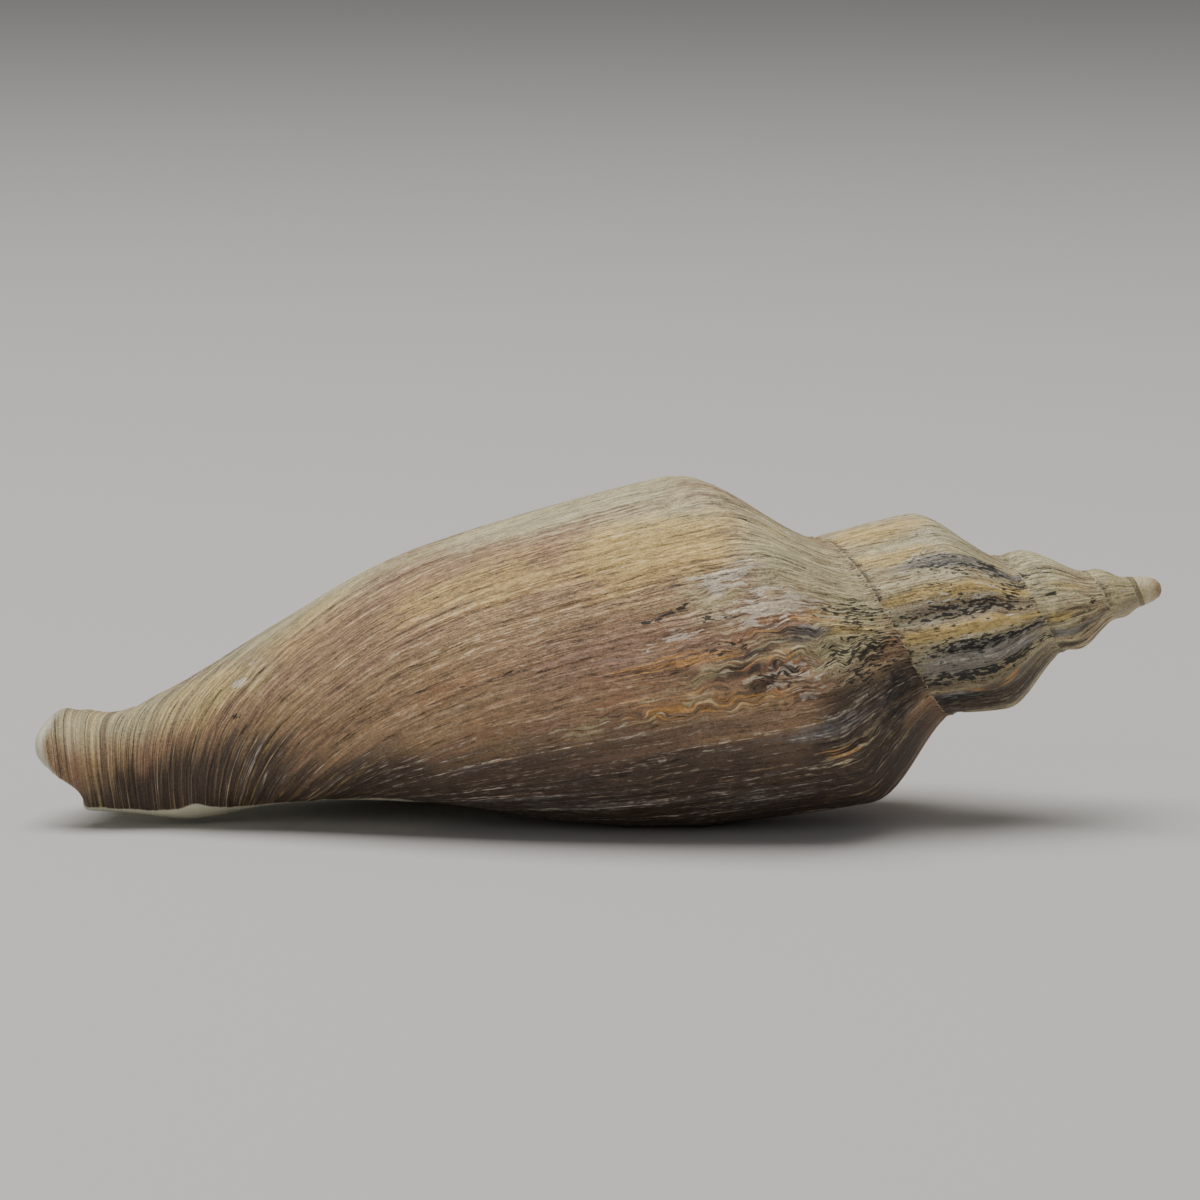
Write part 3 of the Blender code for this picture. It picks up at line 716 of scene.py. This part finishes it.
class Sheet(Growing):
    """The outside of the shell: a column of points for each phase, a row for each share of its outline.

    Older turns have only the rows that the next turn doesn't hide. The last turn has them all, with its
    points further apart towards the front.
    """

    def __init__(self):
        super().__init__()
        self.p = grown_columns()
        self.phase, self.rows = rounded_sheet(self.p, sheet_rows(self.p))
        self.count = self.rows.shape[1]
        self.steps = row_steps(self.count)
        self.columns = {round(phase * COLUMNS): j for j, phase in enumerate(self.p)}
        self.first = int(np.argmax(self.p >= PILLAR - TINY))
        self.end = len(self.p) - 1
        self.index = {}
        for j in range(self.first):
            for i in range(WHORL_ROWS):
                self.place(i, j)
        for j in range(self.first, self.end + 1):
            for i in range(self.count):
                joins_lip = (i, j) == (WHORL_ROWS, self.first)
                if (j - self.first) % self.steps[i] == 0 and not joins_lip:
                    self.place(i, j)
        self.index[WHORL_ROWS, self.first] = self.index[0, self.end]

    def mark(self, i, j):
        """The mark of row i in column j."""
        return self.phase[j, i], self.rows[j, i, 0] / MARK_UNIT

    def place(self, i, j):
        """Adds the point of row i in column j."""
        self.index[i, j] = self.add([placed(self.phase[j, i], *self.rows[j, i])], [self.mark(i, j)])[0]

    def later(self, j):
        """The column one turn later."""
        return self.columns[round((self.p[j] + 1) * COLUMNS)]

    def panel(self, *places):
        """A face between the points at these (row, column) places."""
        self.face([self.index[place] for place in places], [self.mark(*place) for place in places])

    def early_turns(self):
        """The turns before the last. Their last faces meet every point of the next turn's seam."""
        for j in range(self.first):
            for i in range(WHORL_ROWS - 1):
                self.panel((i, j), (i + 1, j), (i + 1, j + 1), (i, j + 1))
            seam = [self.index[0, k] for k in range(self.later(j), self.later(j + 1) + 1)]
            corners = [self.index[WHORL_ROWS - 1, j], *seam, self.index[WHORL_ROWS - 1, j + 1]]
            marks = [self.marks[corner] for corner in corners]
            marks[1:-1] = [(phase - 1, along) for phase, along in marks[1:-1]]
            self.face(corners, marks)

    def last_turn(self):
        """The last turn. A face between rows of unlike steps meets every point of the finer one."""
        for j in range(self.first, self.end):
            for i in range(self.count - 1):
                wide = self.steps[i + 1]
                if (j - self.first) % wide == 0:
                    back = [(i, k) for k in range(j + wide, j, -self.steps[i])]
                    self.panel((i, j), (i + 1, j), (i + 1, j + wide), *back)

    def close_mouth(self):
        """Faces across the mouth, from the lip to the pillar, and across the canal's rim."""
        lip = [self.index[i, self.end] for i in range(self.count)]
        pillar = [self.index[i, self.first] for i in range(WHORL_ROWS, self.count)]
        rim = [self.index[self.count - 1, j] for j in range(self.first, self.end + 1, self.steps[-1])]
        for face in bridged(lip, pillar, self.points):
            self.lid(face)
        centre = np.mean([self.points[k] for k in rim], axis=0)
        centre = self.add([centre], [(NEAR, -centre[0] / MM / MARK_UNIT)])[0]
        for a, b in zip(rim, rim[1:] + rim[:1]):
            self.lid((a, b, centre))

    def close_tip(self):
        """Rounds the blunt tip, ring by ring, inside the edge of the first column and the first turn."""
        ring = [self.index[0, j] for j in range(self.later(0) + 1)]
        ring += [self.index[i, 0] for i in range(WHORL_ROWS - 1, 0, -1)]
        for along, across in TIP_RINGS:
            scale = np.array([along, across, across])
            marks = [(FIRST_PHASE, self.marks[k][1] * along) for k in ring]
            inner = self.add([np.array(self.points[k]) * scale for k in ring], marks)
            self.band(ring, inner)
            ring = inner
        tip = self.add([(0.0, 0.0, 0.0)], [(FIRST_PHASE, 0.0)])[0]
        for a, b in zip(ring, ring[1:] + ring[:1]):
            self.face((a, b, tip))


def grown_solid():
    """The outside of the shell as one solid: the coiled sheet, closed at the tip, mouth and front end."""
    sheet = Sheet()
    sheet.early_turns()
    sheet.last_turn()
    sheet.close_mouth()
    sheet.close_tip()
    return sheet.finish("shell_surface")


def whole_outline(p):
    """The outline at one phase, from the seam as far as the turn reaches, as (u, r) rows."""
    rows = sheet_rows(np.array([p]))[0]
    return rows[~np.isnan(rows[:, 0])]


def pillar_r(p, u):
    """Radius of what lies inside the hollow at phase p: the turn before it, then the pillar."""
    if p > LIP:
        outside = whole_outline(p - 1)
        lift = LIFT_OFF * (p - LIP) / HOLLOW_PAST_LIP
        return np.interp(u, outside[:, 0], outside[:, 1]) + GLAZE + lift
    before = np.array(FRONT_OUTLINES[PILLAR], float)
    fine = curve_through(np.arange(len(before)), before, np.linspace(0, len(before) - 1, OUTLINE_SAMPLES))
    along = seam_u(p) / before[0, 0]
    across = side_point(np.array([p - 1]))[0, 1] / before[0, 1]
    turn = np.interp(u, fine[:, 0] * along, fine[:, 1] * across)
    pillar = np.minimum(PILLAR_SLOPE * u, np.interp(u, fine[:, 0], fine[:, 1]))
    fold = sum(bell(u, at * SEAM_GAIN ** p, PILLAR_FOLD_WIDTH) for at in PILLAR_FOLDS)
    return np.maximum(turn, pillar + PILLAR_FOLD_HEIGHT * fold) + GLAZE


def hollow_bounds(q):
    """What bounds the hollow at phase q: the outline around it, its front end, and the canal's rim."""
    if q >= PILLAR:
        outside = whole_outline(q)
    else:
        before = np.array(FRONT_OUTLINES[PILLAR], float)
        along = seam_u(q + 1) / before[0, 0]
        across = side_point(np.array([q]))[0, 1] / before[0, 1]
        outside = np.vstack([whole_outline(q), before[1:] * (along, across)])
    if q > PILLAR:
        return outside, float(curve_through(*zip(*HOLLOW_TIP), q)), outside[-1, 0]
    return outside, HOLLOW_TIP[0][1] * SEAM_GAIN ** (q + 1), np.inf


def hollow_section(p):
    """The hollow's outline in the half plane of phase p, as a closed ring of (u, r)."""
    q = min(p, LIP)
    outside, tip, rim = hollow_bounds(q)
    wall = WALL * WALL_GAIN ** max(q, OLDEST_WALL)
    fine = np.linspace(seam_u(q), tip, HOLLOW_SAMPLES)
    outer = np.interp(fine, outside[:, 0], outside[:, 1])
    slope = np.gradient(outer, fine)
    edge = np.minimum(lip_distance(p, fine, outer), rim - fine)
    outer = outer - wall * np.sqrt(1 + np.minimum(slope * slope, STEEPEST)) + rounding(edge)
    inner = pillar_r(p, fine)
    gap = outer - inner
    top = fine[np.argmax(gap > LEAST_GAP)]
    share = (1 - np.cos(np.linspace(0, math.pi, HOLLOW_ROWS))) / 2
    crowd = min(rim, tip - TIP_CROWDING * EDGE_RADIUS)
    u = np.sort(np.concatenate([top + (tip - top) * share, crowd - np.array(RIM_ROWS_AT)]))
    share = (u - top) / (tip - top)
    middle = np.interp(u, fine, (outer + inner) / 2)
    half = np.maximum(np.interp(u, fine, gap / 2), LEAST_HALF_WIDTH)
    end = ((share - ROUNDED_FROM) / (1 - ROUNDED_FROM)).clip(0, 1)
    half = half * np.sqrt(np.clip(1 - end * end, LEAST_ROUNDING, 1))
    return np.vstack([np.stack([u, middle + half], 1), np.stack([u, middle - half], 1)[::-1]])


def hollow_cutter():
    """The space inside the last turns, run out past the mouth and the front end."""
    coarse = np.arange(HOLLOW_BACK, HOLLOW_FINE_FROM - HOLLOW_STEPS / 2, HOLLOW_STEPS)
    fine = np.arange(HOLLOW_FINE_FROM, LIP, HOLLOW_FINE_STEPS)
    past = np.linspace(HOLLOW_FINE_STEPS / 2, HOLLOW_PAST_LIP, HOLLOW_PAST_STEPS)
    phases = np.concatenate([coarse, fine, past])
    grown = Growing()
    rings = []
    for p in phases:
        section = hollow_section(p)
        marks = [(p, INSIDE_MARK + u / MARK_UNIT) for u in section[:, 0]]
        rings.append(grown.add(placed(p, section[:, 0], section[:, 1]), marks))
    grown.face(rings[0])
    grown.face(rings[-1][::-1])
    for one, two in zip(rings, rings[1:]):
        grown.band(one, two)
    return grown.finish("hollow_cutter")


def hollowed_shell():
    """The shell in its own frame, with its hollow and its mouth cut out."""
    shell = grown_solid()
    cutter = hollow_cutter()
    select_only(shell)
    cut = shell.modifiers.new("hollow", "BOOLEAN")
    cut.operation = "DIFFERENCE"
    cut.solver = "EXACT"
    cut.object = cutter
    bpy.ops.object.modifier_apply(modifier=cut.name)
    bpy.data.objects.remove(cutter, do_unlink=True)
    return shell


def growth_time(p, u):
    """The growth line through each point, as the phase that it has on the turns."""
    square, slope, start = CANAL_LINES
    p, u = np.asarray(p, float), np.asarray(u, float)
    low = (-slope + np.sqrt(slope ** 2 - 4 * square * (start - u))) / (2 * square)
    high = np.full(p.shape, LATEST_LINE)
    for _ in range(LINE_SEARCHES):
        t = (low + high) / 2
        ahead = np.maximum(square * t * t + slope * t + start - u, TINY)
        late = t + LINE_BEND * np.log1p(-np.exp(-ahead / LINE_REACH)) > p
        high = np.where(late, t, high)
        low = np.where(late, low, t)
    return p + (t - p) * smooth_step(p, *LINES_SWING_FROM)


def line_distance(t):
    """Distance along the shoulder, in mm, from the finished lip to growth line t."""
    at = np.linspace(FIRST_PHASE, LATEST_LINE, LINE_SAMPLES)
    run = np.concatenate([[0], np.cumsum(np.diff(at) * shoulder_r(at)[1:])]) * 2 * math.pi
    return np.interp(t, at, run) - np.interp(0, at, run)


def shown(places, p, u):
    """How strongly a layer with these places shows at each point, from 0 to 1."""
    strongest = np.zeros_like(u)
    along, across = (reach * smooth(u / spacing, p * per_turn, seed)
                     for reach, spacing, per_turn, seed in LAYER_SWAY)
    u, p = u + along, p + across
    for at_u, at_p, length, width, strength in places:
        reach = np.hypot((u - at_u) / length, (p - at_p) / width)
        strongest = np.maximum(strongest, strength * (1 - smooth_step(reach, LAYER_CORE, LAYER_END)))
    return strongest


def patterned(pattern, s, u):
    """Smooth noise that runs along the growth lines, without its height."""
    _, spacing, length, seed = pattern
    return smooth(s / spacing, u / length, seed)


def lined(pattern, s, u):
    """Uneven ridges along the growth lines."""
    return pattern[0] * (1 - 2 * np.abs(patterned(pattern, s, u)))


def seam_distances(p, u):
    """Distances along the axis from the seam behind a point, and from the one in front of it."""
    behind = np.abs(u - seam_u(p))
    ahead = np.where(p < PILLAR, np.abs(seam_u(p + 1) - u), np.inf)
    return behind, ahead


def glazed(p, u):
    """How far the glaze covers each point of the outside, from 0 to 1."""
    edge = np.interp(u, *zip(*GLAZE_EDGE))
    edge = edge + GLAZE_SOFTNESS * smooth(u / GLAZE_WAVE, 0.0, GLAZE_SEED)
    beside = smooth_step(edge - p, -GLAZE_SOFTNESS, GLAZE_SOFTNESS)
    rim_u = np.interp(p, PHASES, [FRONT_OUTLINES[key][-1][0] for key in PHASES]) + rim_bulge(p)
    top = bell(p, RIM_GLAZE_PHASE, RIM_GLAZE_WIDTH)
    depth = RIM_GLAZE_LEAST + (RIM_GLAZE_DEPTH - RIM_GLAZE_LEAST) * top
    fade = RIM_GLAZE_FADE * top
    near_rim = 1 - smooth_step(rim_u - u - depth, -fade, fade + RIM_GLAZE_LEAST_FADE)
    return np.maximum(beside, near_rim * RIM_GLAZE_SHARE) * (p > PILLAR - GLAZE_SOFTNESS)


def relief(p, u, s, glaze):
    """How far the outside stands proud of the grown form, in mm."""
    canal = smooth_step(u, *CANAL_FROM)
    lines = UNDULATIONS[0] * patterned(UNDULATIONS, s, u)
    lines = lines + lined(RIDGES, s, u) + lined(CANAL_RIDGES, s, u) * canal
    lines = lines + lined(FINE_LINES, s, u) * (1 - canal)
    share, spacing, length, seed = RIPPLE_SWAY
    sway = share * smooth(u / length, s / spacing, seed)
    lines = lines + lined(RIPPLES, s + sway * RIPPLES[1], u) * shown(LAYERS["ripples"], p, u)
    flakes = patterned(FLAKES, s, u) + FLAKE_GAIN * shown(LAYERS["chips"], p, u) - FLAKE_LEVEL
    flaked = smooth_step(flakes, -FLAKE_EDGE, FLAKE_EDGE)
    behind, ahead = seam_distances(p, u)
    size = np.minimum(shoulder_r(p) / FULL_SIZE_R, 1)
    thread = bell(np.minimum(behind, ahead), 0.0, SEAM_THREAD_WIDTH)
    groove = bell(ahead, SEAM_GROOVE_AT, SEAM_THREAD_WIDTH)
    groove = groove + bell(behind, SEAM_GROOVE_AT, SEAM_THREAD_WIDTH) / 2
    share, spacing, seed = SEAM_UNEVENNESS
    unevenness = 1 + share * smooth(s / spacing, 0.0, seed)
    seam = size * unevenness * (SEAM_THREAD * thread - SEAM_GROOVE * groove)
    return (lines * size - FLAKES[0] * flaked) * (1 - glaze) + seam + GLAZE_HEIGHT * glaze


def corner_points(mesh):
    """The point of each face corner."""
    points = np.zeros(len(mesh.loops), np.int32)
    mesh.loops.foreach_get("vertex_index", points)
    return points


def outside_marks(mesh):
    """For each point: its phase and distance from the tip as part of the outside, and whether it is so."""
    corners = len(mesh.loops)
    marks = np.zeros(corners * 2, np.float32)
    mesh.uv_layers["growth"].data.foreach_get("uv", marks)
    marks = marks.reshape(-1, 2).astype(float)
    points = corner_points(mesh)
    inside = marks[:, 1] > INSIDE_MARK / 2
    phase = np.full(len(mesh.vertices), -np.inf)
    along = np.zeros(len(mesh.vertices))
    np.maximum.at(phase, points[~inside], marks[~inside, 0])
    np.maximum.at(along, points[~inside], marks[~inside, 1] * MARK_UNIT)
    outside = np.isfinite(phase)
    return np.where(outside, phase, NEAR), along, outside, marks, inside


def raise_relief(mesh, p, u, outside):
    """Moves the points of the outside by its relief."""
    lip = lip_distance(p, u, shoulder_r(p))
    edge = np.where(p > PILLAR, smooth_step(lip, *LIP_FADE), 1) * outside
    heights = relief(p, u, line_distance(growth_time(p, u)), glazed(p, u)) * edge
    normals = np.zeros(len(mesh.vertices) * 3, np.float32)
    mesh.vertices.foreach_get("normal", normals)
    points = mesh_points(mesh) + normals.reshape(-1, 3) * (heights * MM)[:, None]
    mesh.vertices.foreach_set("co", points.astype(np.float32).ravel())


def mark_points(mesh, p, u, outside):
    """Marks each point with how strongly every layer, the tip's stain and the folds show there."""
    for layer, places in LAYERS.items():
        strength = shown(places, p, u)
        if layer == "pale":
            strength = np.maximum(strength, SPIRE_PALENESS * (1 - smooth_step(p, *SPIRE_PALE_FROM)))
        if layer == "specks":
            near = np.minimum(*seam_distances(p, u))
            fade = smooth_step(p, *SUTURE_SPECKS_FROM) * SUTURE_SPECKS
            strength = np.maximum(strength, fade * np.exp(-near / SUTURE_SPECKS_WIDTH))
        painted(mesh, layer, strength * outside, "POINT")
    painted(mesh, "tip", (1 - smooth_step(u, *TIP_STAIN)) * outside, "POINT")
    painted(mesh, "folds", fold_wave(p) * outside, "POINT")


def mark_corners(mesh, marks, inside, outside):
    """Marks each face corner with its distances from the seams, its glaze and its growth line."""
    phase, along = marks[:, 0], marks[:, 1] * MARK_UNIT - INSIDE_MARK * MARK_UNIT * inside
    for name, gap in zip(("past_seam", "before_seam"), seam_distances(phase, along)):
        painted(mesh, name, np.where(inside, SEAM_REACH, np.minimum(gap, SEAM_REACH)), "CORNER")
    cut_edge = np.where(outside[corner_points(mesh)], CUT_EDGE_GLAZE, 1)
    painted(mesh, "glaze", np.where(inside, cut_edge, glazed(phase, along)), "CORNER")
    t = growth_time(phase, np.minimum(along, CANAL_LINES[2]))
    lines = np.stack([line_distance(t), along, phase], axis=1)
    growth = mesh.attributes.new("growth_lines", "FLOAT_VECTOR", "CORNER")
    growth.data.foreach_set("vector", lines.astype(np.float32).ravel())


def carved(shell):
    """Raises the relief on the outside, and marks the mesh with what the finish is made from."""
    mesh = shell.data
    p, u, outside, marks, inside = outside_marks(mesh)
    raise_relief(mesh, p, u, outside)
    mark_points(mesh, p, u, outside)
    mark_corners(mesh, marks, inside, outside)
    mesh.update()


def painted(mesh, name, values, domain):
    """Keeps one number for each point or face corner of the mesh, for the finish to read."""
    layer = mesh.attributes.new(name, "FLOAT", domain)
    layer.data.foreach_set("value", np.asarray(values, np.float32))


class Wire:
    """An output of a shader node. Maths on wires adds Math nodes."""

    def __init__(self, tree, socket):
        self.tree = tree
        self.socket = socket

    def node(self, kind, settings, sockets, output=0):
        """A new node with its settings made and its sockets filled, as the wire of one output."""
        made = self.tree.nodes.new(kind)
        for name, value in settings.items():
            setattr(made, name, value)
        for name, value in sockets.items():
            if isinstance(value, Wire):
                self.tree.links.new(value.socket, made.inputs[name])
            else:
                made.inputs[name].default_value = value
        return Wire(self.tree, made.outputs[output])

    def maths(self, operation, *values):
        """One Math node."""
        return self.node("ShaderNodeMath", {"operation": operation}, dict(enumerate(values)))

    def size(self):
        """This number without its sign."""
        return self.maths("ABSOLUTE", self)

    def __add__(self, other):
        return self.maths("ADD", self, other)

    def __radd__(self, other):
        return self.maths("ADD", other, self)

    def __sub__(self, other):
        return self.maths("SUBTRACT", self, other)

    def __rsub__(self, other):
        return self.maths("SUBTRACT", other, self)

    def __mul__(self, other):
        return self.maths("MULTIPLY", self, other)

    def __rmul__(self, other):
        return self.maths("MULTIPLY", other, self)

    def step(self, low, high):
        """0 below low, 1 above high, and an even S between."""
        settings = {"interpolation_type": "SMOOTHSTEP"}
        return self.node("ShaderNodeMapRange", settings, {"Value": self, "From Min": low, "From Max": high})

    def coated(self, under, over, share):
        """A colour under a share of another."""
        sockets = {"Factor": share, 6: under, 7: over}
        return self.node("ShaderNodeMix", {"data_type": "RGBA"}, sockets, 2)

    def dimmed(self, factor):
        """This colour times a number."""
        sockets = {0: self, "Scale": factor}
        return self.node("ShaderNodeVectorMath", {"operation": "SCALE"}, sockets)


def summed(signals, weights):
    """The sum of some signals, each times its weight."""
    terms = [signals[name] if weight == 1 else signals[name] * weight for name, weight in weights.items()]
    return sum(terms[1:], terms[0])


def finish_signals(start):
    """Every noise and mark that the finish reads, by name."""
    signals = {}
    for name in [*LAYERS, "tip", "glaze", "past_seam", "before_seam", "folds"]:
        signals[name] = start.node("ShaderNodeAttribute", {"attribute_name": name}, {}, 2)
    growth = start.node("ShaderNodeAttribute", {"attribute_name": "growth_lines"}, {}, 1)
    across = start.node("ShaderNodeSeparateXYZ", {}, {0: growth}, 0)
    along = start.node("ShaderNodeSeparateXYZ", {}, {0: growth}, 1)
    place = start.node("ShaderNodeTexCoord", {}, {}, 3)

    def noise(vector, scale, detail):
        """Noise about 0 at a place."""
        sockets = {"Vector": vector, "Scale": scale, "Detail": detail, "Roughness": NOISE_ROUGHNESS}
        return (start.node("ShaderNodeTexNoise", {}, sockets) - 0.5) * NOISE_SPREAD

    for name, (size, detail) in MOTTLES.items():
        signals[name] = noise(place, 1 / (size * MM), detail)
    wavy = across + signals["sway"] * signals["ripples"] * SWAY_REACH
    for name, (seed, spacing, length, detail, wander) in GRAINS.items():
        x = (wavy + signals["waver"] * wander) * (1 / spacing)
        sockets = {0: x, 1: along * (1 / length), 2: seed * SEED_STEP}
        signals[name] = noise(start.node("ShaderNodeCombineXYZ", {}, sockets), 1.0, detail)
    for name, width in LINE_WIDTHS.items():
        signals[name + " line"] = 1 - signals[name].size().step(0.0, width)
    hairs, dashes, threads, level = SCRATCH_SHARES
    scratches = signals["hair"].step(*HAIR_EDGE) * hairs + signals["dash"].step(*DASH_EDGE) * dashes
    signals["fine"] = scratches + signals["thin"] * threads + level
    signals["canal"] = along.step(*CANAL_RANGE)
    signals["canal rib"] = signals["canal"] * signals["rib"]
    signals["rippled curl"] = signals["ripples"] * signals["curl"]
    weights, edge, share = WORN
    signals["unworn"] = 1 + summed(signals, weights).step(*edge) * share
    weights, edge = PATCHY
    signals["patchy"] = summed(signals, weights).step(*edge)
    signals["seam"] = start.maths("MINIMUM", signals["past_seam"], signals["before_seam"])
    return signals


def shell_material(finish):
    """The worn shell: layered colours that flake along the growth lines, painted shade on its lower side and
    at its seams, and glaze beside the mouth.
    """
    material = bpy.data.materials.new("worn_shell_finish")
    material.use_nodes = True
    tree = material.node_tree
    surface = tree.nodes["Principled BSDF"]
    start = Wire(tree, None)
    signals = finish_signals(start)
    color = (*finish.rose, 1.0)
    for name, paint, weights, edge, share, *within in COATS:
        cover = summed(signals, weights).step(*edge)
        signals[name] = cover
        for limit in within:
            cover = cover * signals[limit]
        color = start.coated(color, (*getattr(finish, paint), 1.0), cover * share)
    color = color.dimmed(summed(signals, LIGHTNESS) + LIGHTNESS_BASE)
    weights, edge = GLAZE_COAT
    glaze = summed(signals, weights).step(*edge)
    signals["glaze coat"] = glaze
    color = start.coated(color, (*finish.glaze, 1.0), glaze)
    tree.links.new(color.socket, surface.inputs["Base Color"])
    roughness = summed(signals, ROUGHNESS) + ROUGHNESS_BASE
    tree.links.new(roughness.socket, surface.inputs["Roughness"])
    height = summed(signals, BUMPS) * (1 + glaze * GLAZE_SMOOTHNESS)
    bump = start.node("ShaderNodeBump", {}, {"Strength": BUMP_STRENGTH, "Distance": BUMP_HEIGHT,
                                             "Height": height})
    tree.links.new(bump.socket, surface.inputs["Normal"])
    surface.inputs["Specular IOR Level"].default_value = GLOSS
    return material


def lay_down(shell):
    """Rolls and pitches the shell onto its mouth, and puts it where the measured form lies."""
    turn = Matrix.Rotation(math.radians(-PITCH), 4, "Y") @ Matrix.Rotation(math.radians(ROLL), 4, "X")
    shell.data.transform(turn)
    points = mesh_points(shell.data)
    points[:, 2] -= points[:, 2].min() + WEAR * MM
    points[:, 2] = np.maximum(points[:, 2], 0)
    low, high = points.min(axis=0), points.max(axis=0)
    box_low, box_high = np.array(BOX)
    share = np.minimum(FIT * (box_high - box_low) / (high - low), 1)
    points = (points - (low + high) / 2) * share
    points[:, :2] += ((box_low + box_high) / 2)[:2]
    points[:, 2] -= points[:, 2].min()
    shell.data.vertices.foreach_set("co", points.astype(np.float32).ravel())
    shell.data.update()


def mesh_points(mesh):
    """The places of a mesh's points, as rows."""
    points = np.zeros(len(mesh.vertices) * 3, np.float32)
    mesh.vertices.foreach_get("co", points)
    return points.reshape(-1, 3).astype(float)


def plain_material(name, color, roughness):
    """One plain colour, for the floor."""
    material = bpy.data.materials.new(name)
    material.use_nodes = True
    principled = material.node_tree.nodes["Principled BSDF"]
    principled.inputs["Base Color"].default_value = (*color, 1.0)
    principled.inputs["Roughness"].default_value = roughness
    return material


def shone(name, size, where, power, color):
    """A soft square light that faces the shell."""
    bpy.ops.object.light_add(type="AREA", location=where)
    lamp = bpy.context.object
    lamp.name = name
    lamp.data.shape = "SQUARE"
    lamp.data.size = size
    lamp.data.energy = power
    lamp.data.color = color
    lamp.rotation_euler = (Vector(SUBJECT) - Vector(where)).to_track_quat("-Z", "Y").to_euler()
    return lamp


class SHELL_OT_grow(bpy.types.Operator):
    """Grows the shell, with its hollow, relief and finish"""

    bl_idname = "seashell.grow"
    bl_label = "Grow the shell"

    def execute(self, context):
        shell = hollowed_shell()
        carved(shell)
        lay_down(shell)
        select_only(shell)
        bpy.ops.object.shade_smooth()
        shell.data.materials.append(shell_material(context.scene.shell_finish))
        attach(shell, "root")
        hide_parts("shell")
        return {"FINISHED"}


class SHELL_OT_stage(bpy.types.Operator):
    """Sets the floor, the lights and the camera"""

    bl_idname = "seashell.stage"
    bl_label = "Set the stage"

    def execute(self, context):
        stage = context.scene.shell_stage
        bpy.ops.mesh.primitive_plane_add(size=FLOOR_SIZE)
        floor = context.object
        floor.name = "floor"
        floor.data.materials.append(plain_material("pale_floor", stage.floor_color, FLOOR_ROUGHNESS))
        shone("light_above", LIGHT_SIZE, LIGHT_PLACE, stage.light_power, stage.light_color)
        shone("light_front", FILL_SIZE, FILL_PLACE, stage.fill_power, stage.light_color)
        world = bpy.data.worlds.new("pale_room")
        world.use_nodes = True
        background = world.node_tree.nodes["Background"]
        background.inputs["Color"].default_value = (*stage.room_color, 1.0)
        background.inputs["Strength"].default_value = stage.room_strength
        context.scene.world = world
        place = Vector(CAMERA_PLACE)
        sight = (Vector(CAMERA_AIM) - place).to_track_quat("-Z", "Y").to_matrix()
        turn = Matrix.Rotation(math.radians(CAMERA_ROLL), 3, "Z")
        bpy.ops.object.camera_add(location=place, rotation=(sight @ turn).to_euler())
        camera = context.object
        camera.name = "camera"
        camera.data.lens = CAMERA_LENS
        camera.data.clip_start = CLIP_START
        context.scene.camera = camera
        return {"FINISHED"}


class SHELL_PT_panel(bpy.types.Panel):
    """Lists what this file makes, with its settings"""

    bl_idname = "SHELL_PT_panel"
    bl_label = "Volute seashell"
    bl_space_type = "VIEW_3D"
    bl_region_type = "UI"
    bl_category = "Shell"

    def draw(self, context):
        scene = context.scene
        for operator, settings in ((SHELL_OT_grow, scene.shell_finish), (SHELL_OT_stage, scene.shell_stage)):
            self.layout.operator(operator.bl_idname)
            for name in type(settings).__annotations__:
                self.layout.prop(settings, name)


def color_property(name, description, color):
    """A colour that can be changed in the sidebar."""
    return FloatVectorProperty(
        name=name, description=description, subtype="COLOR", size=3, min=0.0, max=1.0, default=color)


class ShellFinish(bpy.types.PropertyGroup):
    """Colours of the shell's layers, and of the shade painted on its lower side and beside its seams"""

    rose: color_property("Rose brown", "The body's pinkish brown layer", (0.34, 0.195, 0.13))
    tan: color_property("Tan", "The body's tan layer", (0.42, 0.28, 0.14))
    russet: color_property("Russet", "Reddish patches of the body", (0.30, 0.12, 0.06))
    # Dusk colours the dark layer, and also the painted shade on the lower side and beside the seams
    dusk_and_shade: color_property("Dusk", "The dark layer, and painted shade on the lower side and beside the seams", (0.060, 0.040, 0.030))
    slate: color_property("Slate", "Grey-violet bands and streaks", (0.19, 0.18, 0.18))
    cream: color_property("Cream", "The pale worn layer", (0.56, 0.50, 0.29))
    mauve: color_property("Mauve", "Greyish streaks in the pale layer", (0.36, 0.31, 0.28))
    gold: color_property("Gold", "The golden layer under the shoulder", (0.65, 0.45, 0.15))
    orange: color_property("Orange", "Streaks of an orange layer", (0.56, 0.28, 0.08))
    chalk: color_property("Chalk", "Chips and fine lines worn white", (0.70, 0.61, 0.49))
    black: color_property("Black", "Specks of dark crust", (0.02, 0.018, 0.016))
    glaze: color_property("Glaze", "The glaze inside the mouth and beside it", (0.60, 0.575, 0.43))


class ShellStage(bpy.types.PropertyGroup):
    """The stage's lights and colours"""

    floor_color: color_property("Floor", "Colour of the floor", (0.62, 0.61, 0.59))
    room_color: color_property("Room", "Colour of the room around the stage", (0.80, 0.81, 0.83))
    room_strength: FloatProperty(
        name="Room light", description="How strongly the room lights the shell", min=0.0, default=0.22)
    light_color: color_property("Light", "Colour of the lights", (1.0, 0.98, 0.95))
    light_power: FloatProperty(
        name="Light above", description="Power of the light above the shell", subtype="POWER",
        min=0.0, default=30.0)
    fill_power: FloatProperty(
        name="Light in front", description="Power of the light in front of the shell", subtype="POWER",
        min=0.0, default=2.0)


CLASSES = (ShellFinish, ShellStage, SHELL_OT_grow, SHELL_OT_stage, SHELL_PT_panel)


def register():
    """Adds the classes and the settings that the scene keeps."""
    for one in CLASSES:
        bpy.utils.register_class(one)
    bpy.types.Scene.shell_finish = PointerProperty(type=ShellFinish)
    bpy.types.Scene.shell_stage = PointerProperty(type=ShellStage)


def unregister():
    """Takes the settings and the classes away again."""
    del bpy.types.Scene.shell_stage
    del bpy.types.Scene.shell_finish
    for one in reversed(CLASSES):
        bpy.utils.unregister_class(one)


def main():
    """Grows the shell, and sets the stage."""
    register()
    bpy.ops.seashell.grow()
    bpy.ops.seashell.stage()


if __name__ == "__main__":
    main()
